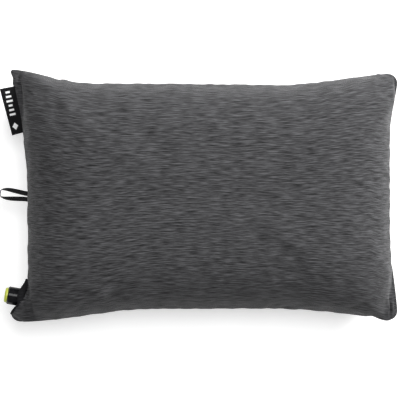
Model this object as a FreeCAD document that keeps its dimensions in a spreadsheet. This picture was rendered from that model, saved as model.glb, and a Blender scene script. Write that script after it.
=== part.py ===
"""Inflatable camp pillow: a removable knit case over a foam topper and a webbed air cell with a twist valve.

Frame: millimetres, +Z up, origin in the middle of the flat patch that the pillow rests on.
X runs along the long sides. The valve, the hang loop and the label are on the -X end.
The case's seam lies in one plane, rest_drop above the origin.
"""
import FreeCAD, Part
import math
import os
import Sketcher

X, Y, Z = FreeCAD.Vector(1, 0, 0), FreeCAD.Vector(0, 1, 0), FreeCAD.Vector(0, 0, 1)

SIZES = [
    # Case
    ("case_length", 432.0, "corner to corner along X"),
    ("case_width", 280.0, "corner to corner along Y"),
    ("crown_rise", 53.0, "seam plane to the top of the face"),
    ("rest_drop", 47.0, "seam plane down to the rest patch"),
    ("shoulder", 62.0, "how far the sides take to round over, seen from above"),
    ("crown_reach", 38.0, "shoulder to the edge of the flat patch"),
    ("bow_valve_end", 20.0, "how far the seam pulls in at mid side, valve end"),
    ("bow_plain_end", 9.0, "the same, plain end"),
    ("bow_long_side", 16.0, "the same, long sides"),
    ("knit_thick", 1.0, "case fabric"),
    ("ply_gap", 0.4, "clearance between loose layers"),
    ("seam_half", 0.15, "half of the space that the turned-in plies take between the panels"),
    ("tuck_gap", 0.3, "outer back panel to the tucked one"),
    ("tuck_overlap", 42.0, "how far the back panels overlap"),
    ("tuck_edge", 18.0, "X of the outer back panel's free edge"),
    ("tuck_jog", 10.0, "length over which the tucked panel steps inwards"),
    ("allowance_start", 2.7, "seam to the turned-in fabric"),
    ("allowance", 8.0, "width of the turned-in fabric"),
    ("allowance_half", 0.8, "half the thickness of the turned-in fabric"),
    # Valve port in the case
    ("port_x", -185.0, "inner end of the cut"),
    ("port_depth", 60.0, ""),
    ("port_y", -113.0, "middle of the port"),
    ("port_lift", 2.0, "middle of the port above the seam plane"),
    ("port_long", 19.0, "half the port along Y"),
    ("port_tall", 13.0, "half the port along Z"),
    ("binding_x", -211.0, "outer edge of the port's binding"),
    ("binding_width", 9.0, ""),
    ("binding_thick", 1.2, ""),
    # Filling
    ("foam_thick", 15.0, "foam topper"),
    ("foam_side", 6.0, "extra room between the case's side and the foam"),
    ("foam_lift", 2.5, "seam plane to the foam's lower edge"),
    ("film_thick", 0.6, "air cell film"),
    ("film_inset", 17.0, "case seam to the air cell's wall at the seam plane"),
    ("weld_width", 6.0, "air cell rim weld"),
    ("web_pitch", 44.0, "distance between air cell webs"),
    ("web_length", 316.0, "webs stop short so that air passes round them"),
    ("web_thick", 0.5, ""),
    ("web_foot", 12.0, "width of a web's welded foot"),
    ("web_slack", 0.3, "film to foot"),
    # Valve: distances along the axis are from the fitment's outer face
    ("valve_x", -198.7, "valve datum, at the fitment's outer face"),
    ("valve_y", -114.6, ""),
    ("valve_lift", 0.7, "valve datum above the seam plane"),
    ("valve_yaw", 10.0, "valve axis turned towards +Y, degrees"),
    ("valve_pitch", 8.0, "valve axis tipped up, degrees"),
    ("relief_radius", 18.0, "hole that the foam and seam leave round the valve"),
    ("boat_long", 17.0, "welded block, half its length along the rim"),
    ("boat_tall", 6.6, "welded block, half its height"),
    ("boat_deep", 11.0, "welded block, depth"),
    ("weld_gap", 0.15, "welded block to film"),
    ("shoulder_radius", 9.0, "fitment's round shoulder"),
    ("shoulder_end", 2.0, ""),
    ("airway_radius", 5.0, ""),
    ("seat_start", 0.2, "check flap's seat"),
    ("seat_end", 1.2, ""),
    ("seat_bore", 3.9, ""),
    ("flap_radius", 4.5, ""),
    ("flap_thick", 0.6, ""),
    ("stake_radius", 0.6, "pin through the flap"),
    ("stem_radius", 7.6, "fixed stem, outside"),
    ("stem_bore", 6.4, ""),
    ("stem_end", 15.0, ""),
    ("thread_start", 5.0, ""),
    ("thread_height", 7.5, ""),
    ("thread_lead", 3.0, "one right-hand start"),
    ("thread_rise", 0.5, "height of the thread above the stem"),
    ("thread_foot", 1.2, "width of the thread at the stem"),
    ("post_start", 4.0, "centre post and its spokes"),
    ("post_radius", 2.6, ""),
    ("spoke_tall", 3.0, ""),
    ("spoke_half", 0.7, "half a spoke's width"),
    ("plug_radius", 3.4, "head of the post, shuts the mouthpiece"),
    ("plug_start", 18.4, ""),
    ("plug_end", 21.8, ""),
    ("collar_start", 3.0, ""),
    ("collar_radius", 10.0, "grip collar, outside"),
    ("lip_start", 17.0, "collar's inward lip"),
    ("lip_end", 20.0, ""),
    ("lug_thick", 1.0, "lugs that run in the stem's thread"),
    ("tail_start", 9.0, "mouthpiece tail, slides in the stem"),
    ("tail_radius", 6.25, ""),
    ("tail_bore", 5.2, ""),
    ("throat_start", 18.2, ""),
    ("throat_bore", 4.15, "mouthpiece hole that the plug shuts"),
    ("tip_start", 20.2, ""),
    ("tip_end", 23.0, ""),
    ("tip_radius", 8.4, "mouthpiece flange"),
    ("clip_start", 15.7, "snap ring that keeps the collar on the mouthpiece"),
    ("clip_wide", 1.3, ""),
    ("clip_thick", 0.9, ""),
    ("seal_groove", 0.55, "depth of the tail's seal groove"),
    ("run_gap", 0.25, "running clearance in the valve"),
    # Label and hang loop
    ("ribbon_thick", 1.2, "label and hang loop ribbon"),
    ("loop_ribbon", 5.4, "width of the hang loop's ribbon"),
    ("loop_reach", 30.0, "hang loop, seam to tip"),
    ("loop_half_gap", 3.0, "hang loop, centreline to the middle of a strand at the seam"),
    ("loop_belly", 4.0, "how much wider the loop opens towards its tip"),
    ("loop_x", -197.0, "where the loop leaves the seam"),
    ("loop_y", -1.6, ""),
    ("loop_lean", -7.5, "loop turned about Z, degrees"),
    ("label_root_y", 120.8, "label's corners, clockwise from the seam end nearest the case's corner"),
    ("label_root_x", -211.9, ""),
    ("label_fold_y", 118.0, ""),
    ("label_fold_x", -227.2, ""),
    ("label_heel_y", 66.3, ""),
    ("label_heel_x", -213.4, ""),
    ("label_toe_y", 69.2, ""),
    ("label_toe_x", -202.3, ""),
]

SHOULDER_ANGLES = (0.0, 26.0, 52.0, 76.0)
SHOULDER_SHARE = 0.93
FLAT_BOW = 0.25
WEB_PLACES = (-1.5, -0.5, 0.5, 1.5)
CHAMFER = 0.6
LOOP_STEPS = 32


class Size:
    """A number together with the spreadsheet expression that gives it."""

    def __init__(self, number, text):
        self.number = number
        self.text = text

    def _with(self, sign, other, swap=False):
        other = other if isinstance(other, Size) else number(other)
        a, b = (other, self) if swap else (self, other)
        result = {"+": a.number + b.number, "-": a.number - b.number, "*": a.number * b.number}[sign]
        return Size(result, f"({a.text} {sign} {b.text})")

    def __add__(self, other):
        return self._with("+", other)

    def __sub__(self, other):
        return self._with("-", other)

    def __mul__(self, other):
        return self._with("*", other)

    __radd__ = __add__
    __rmul__ = __mul__

    def __rsub__(self, other):
        return self._with("-", other, swap=True)

    def over(self, other):
        return Size(self.number / other.number, f"({self.text} / {other.text})")


def number(value):
    """A size that no cell drives."""
    return Size(float(value), f"{float(value):.6f}")


def make_sheet(doc):
    """Writes the driving dimensions to the spreadsheet and returns them as sizes."""
    sheet = doc.addObject("Spreadsheet::Sheet", "Sizes")
    sizes = {}
    for row, (alias, value, meaning) in enumerate(SIZES, start=1):
        sheet.set(f"A{row}", alias)
        sheet.set(f"B{row}", str(value))
        sheet.set(f"C{row}", meaning)
        sheet.setAlias(f"B{row}", alias)
        sizes[alias] = Size(value, f"Sizes.{alias}")
    doc.recompute()
    return sizes


doc = FreeCAD.newDocument("CampPillow")
S = make_sheet(doc)


# Helpers -----------------------------------------------------------------

def bind(thing, prop, size):
    thing.setExpression(prop, size.text)


def new_body(label):
    body = doc.addObject("PartDesign::Body", label)
    body.Label = label
    return body


def pillow_body(label):
    """A body whose XY plane is the seam plane."""
    body = new_body(label)
    bind(body, "Placement.Base.z", S["rest_drop"])
    return body


def body_sketch(body, name, role="XY_Plane", offset=None):
    """A sketch on one of the body's own planes, moved along that plane's normal by offset."""
    sketch = body.newObject("Sketcher::SketchObject", name)
    plane = next(f for f in body.Origin.OriginFeatures if f.Role == role)
    sketch.AttachmentSupport = [(plane, "")]
    sketch.MapMode = "FlatFace"
    if offset is not None:
        sketch.AttachmentOffset.Base.z = offset.number
        bind(sketch, "AttachmentOffset.Base.z", offset)
    return sketch


def pin_down(sketch, name, kind, refs, size):
    """Adds a dimension to the sketch and binds it to its expression."""
    index = sketch.addConstraint(Sketcher.Constraint(kind, *refs, size.number))
    sketch.renameConstraint(index, name)
    sketch.setExpression(f"Constraints.{name}", size.text)


def polygon(sketch, points):
    """A closed polygon whose corners are (size along the sketch's X, size along its Y)."""
    corners = [FreeCAD.Vector(a.number, b.number, 0) for a, b in points]
    count = len(corners)
    for i in range(count):
        sketch.addGeometry(Part.LineSegment(corners[i], corners[(i + 1) % count]))
    for i in range(count):
        sketch.addConstraint(Sketcher.Constraint("Coincident", i, 2, (i + 1) % count, 1))
    for i, (a, b) in enumerate(points):
        pin_down(sketch, f"across_{i}", "DistanceX", (i, 1), a)
        pin_down(sketch, f"along_{i}", "DistanceY", (i, 1), b)


def circle(sketch, radius):
    sketch.addGeometry(Part.Circle(FreeCAD.Vector(), Z, radius.number))
    sketch.addConstraint(Sketcher.Constraint("Coincident", 0, 3, -1, 1))
    pin_down(sketch, "circle_radius", "Radius", (0,), radius)


def extrude(body, name, sketch, length, cut=False, reverse=False):
    """Pads the sketch along its plane's normal, or pockets with it; reverse goes the other way."""
    feature = body.newObject("PartDesign::Pocket" if cut else "PartDesign::Pad", name)
    feature.Profile = sketch
    feature.Type = "Length"
    feature.Length = length.number
    bind(feature, "Length", length)
    feature.Reversed = reverse
    return feature


def loft(body, name, sections, cut=False):
    feature = body.newObject("PartDesign::SubtractiveLoft" if cut else "PartDesign::AdditiveLoft", name)
    feature.Profile = sections[0]
    feature.Sections = sections[1:]
    feature.Ruled = False
    return feature


def boolean(kind, label, base, tool):
    made = doc.addObject(f"Part::{kind}", label)
    made.Label = label
    made.Base, made.Tool = base, tool
    return made


def fused(label, pieces):
    made = doc.addObject("Part::MultiFuse", label)
    made.Label = label
    made.Shapes = pieces
    made.Refine = False
    return made


def box(name, low, span):
    """A box from its low corner and its size, each three sizes."""
    made = doc.addObject("Part::Box", name)
    for prop, value in zip(("Length", "Width", "Height"), span):
        bind(made, prop, value)
    for prop, value in zip(("x", "y", "z"), low):
        bind(made, f"Placement.Base.{prop}", value)
    return made


# The pillow's form -------------------------------------------------------

def pillow_outline(sketch, inset, bow_share):
    """The case's outline drawn in by inset: four sides that bow inwards between sharp corners."""
    length = S["case_length"] - 2 * inset
    width = S["case_width"] - 2 * inset
    hx, hy = length.number / 2, width.number / 2
    # name, half chord, bow, direction of the arc's centre, middle of the arc in degrees
    sides = [
        ("front", length * 0.5, S["bow_long_side"] * bow_share, (0, -1), 90),
        ("right", width * 0.5, S["bow_plain_end"] * bow_share, (1, 0), 180),
        ("rear", length * 0.5, S["bow_long_side"] * bow_share, (0, 1), 270),
        ("left", width * 0.5, S["bow_valve_end"] * bow_share, (-1, 0), 0),
    ]
    for _, chord, bow, (ux, uy), facing in sides:
        radius = (chord.number ** 2 + bow.number ** 2) / (2 * bow.number)
        reach = radius - bow.number
        centre = FreeCAD.Vector(ux * (hx + reach), uy * (hy + reach), 0)
        half = math.asin(chord.number / radius)
        middle = math.radians(facing)
        arc = Part.ArcOfCircle(Part.Circle(centre, Z, radius), middle - half, middle + half)
        sketch.addGeometry(arc)
    front, right, rear, left = range(4)
    start, end = 1, 2
    for pair in ((front, end, left, start), (front, start, right, end),
                 (right, start, rear, end), (rear, start, left, end)):
        sketch.addConstraint(Sketcher.Constraint("Coincident", *pair))
    x_axis, y_axis = -1, -2
    sketch.addConstraint(Sketcher.Constraint("Symmetric", front, end, front, start, y_axis))
    sketch.addConstraint(Sketcher.Constraint("Symmetric", front, start, right, start, x_axis))
    sketch.addConstraint(Sketcher.Constraint("Symmetric", rear, end, rear, start, y_axis))
    pin_down(sketch, "outline_length", "DistanceX", (front, end, front, start), length)
    pin_down(sketch, "outline_width", "DistanceY", (front, start, right, start), width)
    for index, (name, chord, bow, _, _) in enumerate(sides):
        radius = (chord * chord + bow * bow).over(2 * bow)
        pin_down(sketch, f"radius_{name}", "Radius", (index,), radius)


def dome_sections(body, name, up, side_depth, face_depth, clip):
    """Sketches from the seam to the flat patch, side_depth and face_depth inside the case's outer face."""
    rise = S["crown_rise"] if up else S["rest_drop"]
    sign = 1.0 if up else -1.0
    sections = []
    for step, angle in enumerate(SHOULDER_ANGLES):
        cos, sin = math.cos(math.radians(angle)), math.sin(math.radians(angle))
        height = (rise * SHOULDER_SHARE - face_depth) * (sin * sign) if step else clip * sign
        inset = S["shoulder"] - (S["shoulder"] - side_depth) * cos
        sketch = body_sketch(body, f"{name}_{step}", offset=height)
        pillow_outline(sketch, inset, FLAT_BOW + (1 - FLAT_BOW) * cos)
        sections.append(sketch)
    top = body_sketch(body, f"{name}_top", offset=(rise - face_depth) * sign)
    pillow_outline(top, S["shoulder"] + S["crown_reach"], FLAT_BOW)
    return sections + [top]


def dome(label, up, outer, inner=None, clip=None):
    """Half a pillow, solid, or a shell when inner is given; outer and inner are (side depth, face depth)."""
    clip = clip or number(0)
    body = pillow_body(label)
    loft(body, label + "_skin", dome_sections(body, label + "_out", up, *outer, clip=clip))
    if inner is not None:
        loft(body, label + "_hollow", dome_sections(body, label + "_in", up, *inner, clip=clip), cut=True)
    return body


def rim_band(label, bands):
    """Flat rings that follow the outline; each is (outer inset, inner inset, low, high) from the seam plane."""
    rings = []
    for index, (outer, inner, low, high) in enumerate(bands):
        body = pillow_body(f"{label}_{index}")
        for name, inset, cut in (("out", outer, False), ("in", inner, True)):
            sketch = body_sketch(body, f"{label}_{name}_{index}", offset=low)
            pillow_outline(sketch, inset, 1.0)
            extrude(body, f"{label}_{name}_{index}_run", sketch, high - low, cut=cut, reverse=cut)
        rings.append(body)
    return rings


# Case --------------------------------------------------------------------

def port_bar(name, grow, start, length):
    """An oval bar along X that fills the valve port, made smaller all round by a negative grow."""
    oval = doc.addObject("Part::Ellipse", name + "_oval")
    bind(oval, "MajorRadius", S["port_long"] + grow)
    bind(oval, "MinorRadius", S["port_tall"] + grow)
    oval.Placement = FreeCAD.Placement(FreeCAD.Vector(), FreeCAD.Rotation(Y, Z, X, "ZXY"))
    bind(oval, "Placement.Base.x", start)
    bind(oval, "Placement.Base.y", S["port_y"])
    bind(oval, "Placement.Base.z", S["rest_drop"] + S["port_lift"])
    bar = doc.addObject("Part::Extrusion", name)
    bar.Base = oval
    bar.DirMode = "Custom"
    bar.Dir = X
    bar.Solid = True
    bind(bar, "LengthFwd", length)
    return bar


def case_parts(relief):
    """Face panel, tucked back panel, plain back panel, seam allowance, port binding."""
    knit, clip = S["knit_thick"], S["seam_half"]
    skin, inside = (number(0), number(0)), (knit, knit)
    port_end = S["port_x"] - S["port_depth"]
    port = port_bar("valve_port", number(0), port_end, S["port_depth"])
    face = boolean("Cut", "case_face_panel", dome("face_shell", True, skin, inside, clip=clip), port)

    outer = boolean("Cut", "back_shell", dome("back_skin", False, skin, inside, clip=clip), port)
    tuck_out = knit + S["tuck_gap"]
    tuck_in = tuck_out + knit
    tuck = dome("back_tuck", False, (tuck_out, tuck_out), (tuck_in, tuck_in), clip=clip)
    jog = dome("back_jog", False, skin, (tuck_in, tuck_in), clip=clip)
    far, edge = S["case_length"] * 0.5, S["tuck_edge"]
    jog_end = edge - S["ply_gap"]

    def slab(name, x_low, x_high):
        """The slice of the back between two values of X."""
        low = (x_low, S["case_width"] * -0.5, S["ply_gap"] * -1)
        return box(name, low, (x_high - x_low, S["case_width"], S["rest_drop"] + 2 * S["ply_gap"]))

    plain = boolean("Common", "case_back_plain", outer, slab("plain_zone", edge, far))
    tucked = fused("case_back_tucked", [
        boolean("Common", "tucked_flat", outer, slab("flat_zone", far * -1, edge - S["tuck_jog"])),
        boolean("Common", "tucked_step", jog, slab("step_zone", edge - S["tuck_jog"], jog_end)),
        boolean("Common", "tucked_end", tuck, slab("end_zone", jog_end, edge + S["tuck_overlap"]))])

    start, half = S["allowance_start"], S["allowance_half"]
    plies = fused("seam_plies", rim_band("seam", [
        (number(0), start, clip * -1, clip),
        (start, start + S["allowance"], half * -1, half)]))
    trimmed = boolean("Cut", "seam_at_port", plies, port)
    allowance = boolean("Cut", "case_seam_allowance", trimmed, relief)

    gap = S["seam_half"]
    binding_out = port_bar("binding_outside", gap * -1, S["binding_x"], S["binding_width"])
    binding_in = port_bar("binding_inside", (gap + S["binding_thick"]) * -1, S["binding_x"], S["binding_width"])
    binding = boolean("Cut", "valve_port_binding", binding_out, binding_in)
    return [face, tucked, plain, allowance, binding], port


# Filling -----------------------------------------------------------------

def filling_parts(port, relief):
    """Foam topper, air cell films with their rim weld, and the webs that hold the cell flat."""
    knit, gap, film = S["knit_thick"], S["ply_gap"], S["film_thick"]
    zero = number(0)
    foam_out = knit + gap
    foam_in = foam_out + S["foam_thick"]
    foam = dome("foam_block", True, (foam_out + S["foam_side"], foam_out), (foam_in, foam_in), clip=S["foam_lift"])
    topper = boolean("Cut", "foam_topper", boolean("Cut", "foam_at_port", foam, port), relief)

    pocket = boat_body("weld_pocket", S["weld_gap"])
    room = valve_room("rim_relief", S["boat_long"], S["weld_gap"] * -1)
    side = S["film_inset"]
    faces = {True: foam_in + gap, False: knit * 2 + S["tuck_gap"] + gap}
    labels = {True: "air_cell_top_film", False: "air_cell_bottom_film"}
    films = []
    for up, label in labels.items():
        depth = faces[up]
        shell = dome(label + "_shell", up, (side, depth), (side + film, depth + film))
        low = zero if up else film * -1
        rim = rim_band(label + "_rim", [(side - S["weld_width"], side + film, low, low + film)])
        joined = fused(label + "_joined", [shell] + rim)
        films.append(boolean("Cut", label, boolean("Cut", label + "_pierced", joined, pocket), room))

    near = film + S["web_slack"]
    inner = {up: (side + near, faces[up] + near) for up in faces}
    deeper = {up: tuple(depth + S["web_thick"] for depth in inner[up]) for up in faces}
    air = fused("air_room", [dome("air_top", True, inner[True]), dome("air_low", False, inner[False])])
    feet = {up: dome(f"feet_{'top' if up else 'low'}", up, inner[up], deeper[up]) for up in faces}
    tall = S["rest_drop"] + S["crown_rise"]
    webs = []
    for index, place in enumerate(WEB_PLACES, start=1):
        middle = S["web_pitch"] * place

        def zone(name, wide):
            low = (S["web_length"] * -0.5, middle - wide * 0.5, zero)
            return box(f"{name}_{index}", low, (S["web_length"], wide, tall))

        foot_zone = zone("foot_zone", S["web_foot"])
        webs.append(fused(f"air_cell_web_{index}", [
            boolean("Common", f"web_{index}_plate", air, zone("plate_zone", S["web_thick"])),
            boolean("Common", f"web_{index}_top_foot", feet[True], foot_zone),
            boolean("Common", f"web_{index}_low_foot", feet[False], foot_zone)]))
    return [topper] + films + webs


# Valve -------------------------------------------------------------------

def valve_placement(along=0.0):
    """Takes +Z to the valve's axis, which points out of the -X end, from a point along that axis."""
    yaw, pitch = math.radians(S["valve_yaw"].number), math.radians(S["valve_pitch"].number)
    axis = FreeCAD.Vector(-math.cos(yaw) * math.cos(pitch), math.sin(yaw) * math.cos(pitch), math.sin(pitch))
    level = Z.cross(axis).normalize()
    turn = FreeCAD.Rotation(level, axis.cross(level), axis, "ZXY")
    base = FreeCAD.Vector(S["valve_x"].number, S["valve_y"].number, (S["rest_drop"] + S["valve_lift"]).number)
    return FreeCAD.Placement(base + axis * along, turn)


def on_valve(thing):
    """Puts a piece in the valve's own frame: its +Z along the valve axis, its X level."""
    thing.Placement = valve_placement()
    bind(thing, "Placement.Base.x", S["valve_x"])
    bind(thing, "Placement.Base.y", S["valve_y"])
    bind(thing, "Placement.Base.z", S["rest_drop"] + S["valve_lift"])
    return thing


def valve_room(name, radius, start):
    """A cylinder about the valve's axis, from start outwards, for cutting room round the valve."""
    room = doc.addObject("Part::Cylinder", name)
    bind(room, "Radius", radius)
    bind(room, "Height", S["port_depth"])
    room.Placement = valve_placement(start.number)
    return room


def boat_body(label, grow):
    """The boat-shaped block that a welded spout has between the two films, with its points along the rim."""
    body = new_body(label)
    sketch = body_sketch(body, label + "_outline", offset=(S["boat_deep"] + grow) * -1)
    half_long, half_tall = S["boat_long"] + grow, S["boat_tall"] + grow
    radius = (half_long * half_long + half_tall * half_tall).over(2 * half_tall)
    half = math.asin(half_long.number / radius.number)
    for side in (-1, 1):
        centre = FreeCAD.Vector(0, side * (half_tall.number - radius.number), 0)
        middle = math.radians(90 * side)
        sketch.addGeometry(Part.ArcOfCircle(Part.Circle(centre, Z, radius.number), middle - half, middle + half))
    start, end = 1, 2
    for pair in ((0, end, 1, start), (0, start, 1, end)):
        sketch.addConstraint(Sketcher.Constraint("Coincident", *pair))
    sketch.addConstraint(Sketcher.Constraint("Symmetric", 0, start, 0, end, -2))
    sketch.addConstraint(Sketcher.Constraint("PointOnObject", 0, start, -1))
    pin_down(sketch, "block_length", "DistanceX", (0, start, 0, end), half_long * 2)
    for index in (0, 1):
        pin_down(sketch, f"block_radius_{index}", "Radius", (index,), radius)
    extrude(body, label + "_block", sketch, S["boat_deep"] + grow * 2)
    return on_valve(body)


def turned(label, profile):
    """A piece of the valve turned about its axis from a (radius, distance along the axis) profile."""
    body = new_body(label)
    sketch = body_sketch(body, label + "_profile", role="XZ_Plane")
    polygon(sketch, profile)
    turn = body.newObject("PartDesign::Revolution", label + "_turn")
    turn.Profile = sketch
    turn.ReferenceAxis = (sketch, ["V_Axis"])
    turn.Angle = 360
    return body


def block_on(body, name, start, tall, low, span):
    """Pads a rectangle, given by its low corner and its size, onto a valve piece."""
    sketch = body_sketch(body, name + "_outline", offset=start)
    (x0, y0), (dx, dy) = low, span
    polygon(sketch, [(x0, y0), (x0 + dx, y0), (x0 + dx, y0 + dy), (x0, y0 + dy)])
    return sketch, extrude(body, name, sketch, tall)


def fitment_piece():
    """Welded block with a round shoulder and the airway through both."""
    fitment = boat_body("valve_fitment", number(0))
    shoulder = body_sketch(fitment, "shoulder_outline", offset=number(0))
    circle(shoulder, S["shoulder_radius"])
    extrude(fitment, "shoulder_disc", shoulder, S["shoulder_end"])
    bore = body_sketch(fitment, "airway_outline", offset=S["shoulder_end"])
    circle(bore, S["airway_radius"])
    extrude(fitment, "airway", bore, S["boat_deep"] + S["shoulder_end"], cut=True)
    return fitment


def check_flap_pieces():
    """Seat ring with a bar and a stake, pressed into the airway, and the flap that hangs on the stake."""
    start, end, bore, stake = S["seat_start"], S["seat_end"], S["seat_bore"], S["stake_radius"]
    seat = turned("check_flap_seat", [
        (bore, start), (S["airway_radius"], start), (S["airway_radius"], end), (bore, end)])
    under = start - S["flap_thick"]
    block_on(seat, "seat_bar", start, end - start, (bore * -1, stake * -1), (bore * 2, stake * 2))
    pin = body_sketch(seat, "stake_outline", offset=start)
    circle(pin, stake)
    extrude(seat, "stake", pin, S["flap_thick"], reverse=True)
    head = body_sketch(seat, "stake_head_outline", offset=under)
    circle(head, stake * 2)
    extrude(seat, "stake_head", head, stake, reverse=True)
    flap = turned("check_flap", [
        (stake, under), (S["flap_radius"], under), (S["flap_radius"], start), (stake, start)])
    return seat, flap


def stem_piece():
    """Fixed tube with a single-start outside thread."""
    radius, bore, end = S["stem_radius"], S["stem_bore"], S["stem_end"]
    stem = turned("valve_stem", [
        (bore, S["shoulder_end"]), (radius, S["shoulder_end"]), (radius, end - CHAMFER),
        (radius - CHAMFER, end), (bore, end)])
    ridge = body_sketch(stem, "thread_profile", role="XZ_Plane")
    low, foot = S["thread_start"], S["thread_foot"]
    root, crest = radius - 0.1, radius + S["thread_rise"]
    polygon(ridge, [(root, low), (crest, low + foot * 0.375), (crest, low + foot * 0.625), (root, low + foot)])
    helix = stem.newObject("PartDesign::AdditiveHelix", "stem_thread")
    helix.Profile = ridge
    helix.ReferenceAxis = (ridge, ["V_Axis"])
    helix.Mode = "pitch-height-angle"
    bind(helix, "Pitch", S["thread_lead"])
    bind(helix, "Height", S["thread_height"])
    helix.Angle = 0
    return stem


def post_piece():
    """Centre post on three spokes, with a grooved plug at its head."""
    start, radius, plug = S["post_start"], S["post_radius"], S["plug_radius"]
    low, high = S["plug_start"], S["plug_end"]
    centre = number(0.4)
    groove_low, groove_high = low + 0.8, high - 1.4
    post = turned("valve_post", [
        (centre, start), (radius, start), (radius, low - 0.8), (plug, low), (plug, groove_low),
        (plug - 0.5, groove_low), (plug - 0.5, groove_high), (plug, groove_high),
        (plug, high - CHAMFER), (plug - CHAMFER, high), (centre, high)])
    inner = radius - 0.4
    half = S["spoke_half"]
    span = (S["stem_bore"] - inner - 0.04, half * 2)
    sketch, spoke = block_on(post, "spoke", start, S["spoke_tall"], (inner, half * -1), span)
    doc.recompute()
    spokes = post.newObject("PartDesign::PolarPattern", "spokes")
    spokes.Originals = [spoke]
    spokes.Axis = (sketch, ["N_Axis"])
    spokes.Angle = 360
    spokes.Occurrences = 3
    post.Tip = spokes
    return post


def collar_piece():
    """Grip collar: a groove round its foot, an inward lip at its head and two lugs in the stem's thread."""
    start, end, lip = S["collar_start"], S["lip_end"], S["lip_start"]
    radius, bore = S["collar_radius"], S["stem_radius"] + S["thread_rise"] + S["run_gap"]
    neck = S["tail_radius"] + S["run_gap"]
    collar = turned("valve_collar", [
        (bore, start), (radius - CHAMFER, start), (radius, start + CHAMFER), (radius, start + 2.4),
        (radius - 0.5, start + 2.9), (radius - 0.5, start + 3.7), (radius, start + 4.2), (radius, end - 1.0),
        (radius - 1.0, end), (neck, end), (neck, lip), (bore, lip)])
    lug_low = S["thread_start"] + (S["thread_foot"] + S["thread_lead"] - S["lug_thick"]) * 0.5
    inner = S["stem_radius"] + 0.15
    reach = bore + 0.4 - inner
    for index, side in enumerate((1, -1)):
        low = lug_low + S["thread_lead"] * (0.5 * index)
        near = inner if side > 0 else (inner + reach) * -1
        block_on(collar, f"lug_{index}", low, S["lug_thick"], (near, number(-0.6)), (reach, number(1.2)))
    return collar


def mouthpiece_pieces():
    """Tail that slides in the stem, with a flange to bite on, and the snap ring that holds the collar to it."""
    tail, bore, throat = S["tail_radius"], S["tail_bore"], S["throat_bore"]
    low, tip, end = S["tail_start"], S["tip_start"], S["tip_end"]
    groove_low, groove_high = low + 2.0, low + 2.9
    mouthpiece = turned("valve_mouthpiece", [
        (bore, low), (tail, low), (tail, groove_low), (tail - S["seal_groove"], groove_low),
        (tail - S["seal_groove"], groove_high), (tail, groove_high), (tail, tip), (S["tip_radius"], tip),
        (S["tip_radius"], tip + 1.4), (S["tip_radius"] - 1.1, end), (throat + 0.5, end), (throat, end - 0.5),
        (throat, S["throat_start"]), (bore, S["throat_start"] - 1.0)])
    low, high = S["clip_start"], S["clip_start"] + S["clip_thick"]
    clip = turned("mouthpiece_circlip", [
        (tail, low), (tail + S["clip_wide"], low), (tail + S["clip_wide"], high), (tail, high)])
    return mouthpiece, clip


def seal_ring(label, major, minor, along):
    ring = doc.addObject("Part::Torus", label)
    ring.Label = label
    bind(ring, "Radius1", major)
    bind(ring, "Radius2", minor)
    ring.Placement = valve_placement(along.number)
    return ring


def valve_parts():
    """Fitment, stem with its centre post, seals, grip collar and the keyed mouthpiece that it carries."""
    seat, flap = check_flap_pieces()
    mouthpiece, clip = mouthpiece_pieces()
    pieces = [stem_piece(), post_piece(), collar_piece(), mouthpiece, clip, seat, flap]
    for piece in pieces:
        on_valve(piece)
    tail_seal = seal_ring("mouthpiece_o_ring", S["tail_radius"] - 0.2, number(0.3), S["tail_start"] + 2.45)
    plug_seal = seal_ring("plug_o_ring", S["plug_radius"] + 0.15, number(0.5), S["plug_start"] + 1.4)
    return [fitment_piece()] + pieces + [tail_seal, plug_seal]


# Label and loop ----------------------------------------------------------

def label_piece():
    """Folded label that stands out of the -X seam."""
    thick = S["ribbon_thick"]
    label = pillow_body("side_label")
    outline = body_sketch(label, "label_outline", offset=thick * -0.5)
    polygon(outline, [(S[f"label_{corner}_x"], S[f"label_{corner}_y"]) for corner in ("root", "fold", "heel", "toe")])
    extrude(label, "label_pad", outline, thick)
    return label


def hang_loop():
    """A ribbon that leaves the seam flat and turns on edge round its tip, as sewn loops do."""
    reach, wide, thick = (S[name].number for name in ("loop_reach", "loop_ribbon", "ribbon_thick"))
    base_gap, belly = S["loop_half_gap"].number, S["loop_belly"].number

    def centre(turn):
        """The ribbon's middle line: 0 at the upper sewn end, pi at the lower one."""
        along = math.cos(turn)
        spread = (base_gap + belly * math.sin(turn)) * math.copysign(abs(along) ** 0.5, along)
        return FreeCAD.Vector(-reach * math.sin(turn) ** 0.8, spread, 0)

    step, end_trim = 0.01, 0.004
    sections = []
    for index in range(LOOP_STEPS + 1):
        turn = math.pi * min(max(index / LOOP_STEPS, end_trim), 1 - end_trim)
        ahead = (centre(turn + step) - centre(turn - step)).normalize()
        flat = FreeCAD.Vector(-ahead.y, ahead.x, 0)
        on_edge = math.pi / 2 * math.sin(turn) ** 1.6
        across = flat * math.cos(on_edge) + Z * math.sin(on_edge)
        through = ahead.cross(across)
        corners = [centre(turn) + across * (a * wide / 2) + through * (b * thick / 2)
                   for a, b in ((-1, -1), (1, -1), (1, 1), (-1, 1), (-1, -1))]
        sections.append(Part.makePolygon(corners))
    ribbon = doc.addObject("Part::Feature", "hang_loop")
    ribbon.Label = "hang_loop"
    ribbon.Shape = Part.makeLoft(sections, True, True)
    root = FreeCAD.Vector(S["loop_x"].number, S["loop_y"].number, S["rest_drop"].number)
    ribbon.Placement = FreeCAD.Placement(root, FreeCAD.Rotation(Z, S["loop_lean"].number))
    return ribbon


# Output ------------------------------------------------------------------

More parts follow.
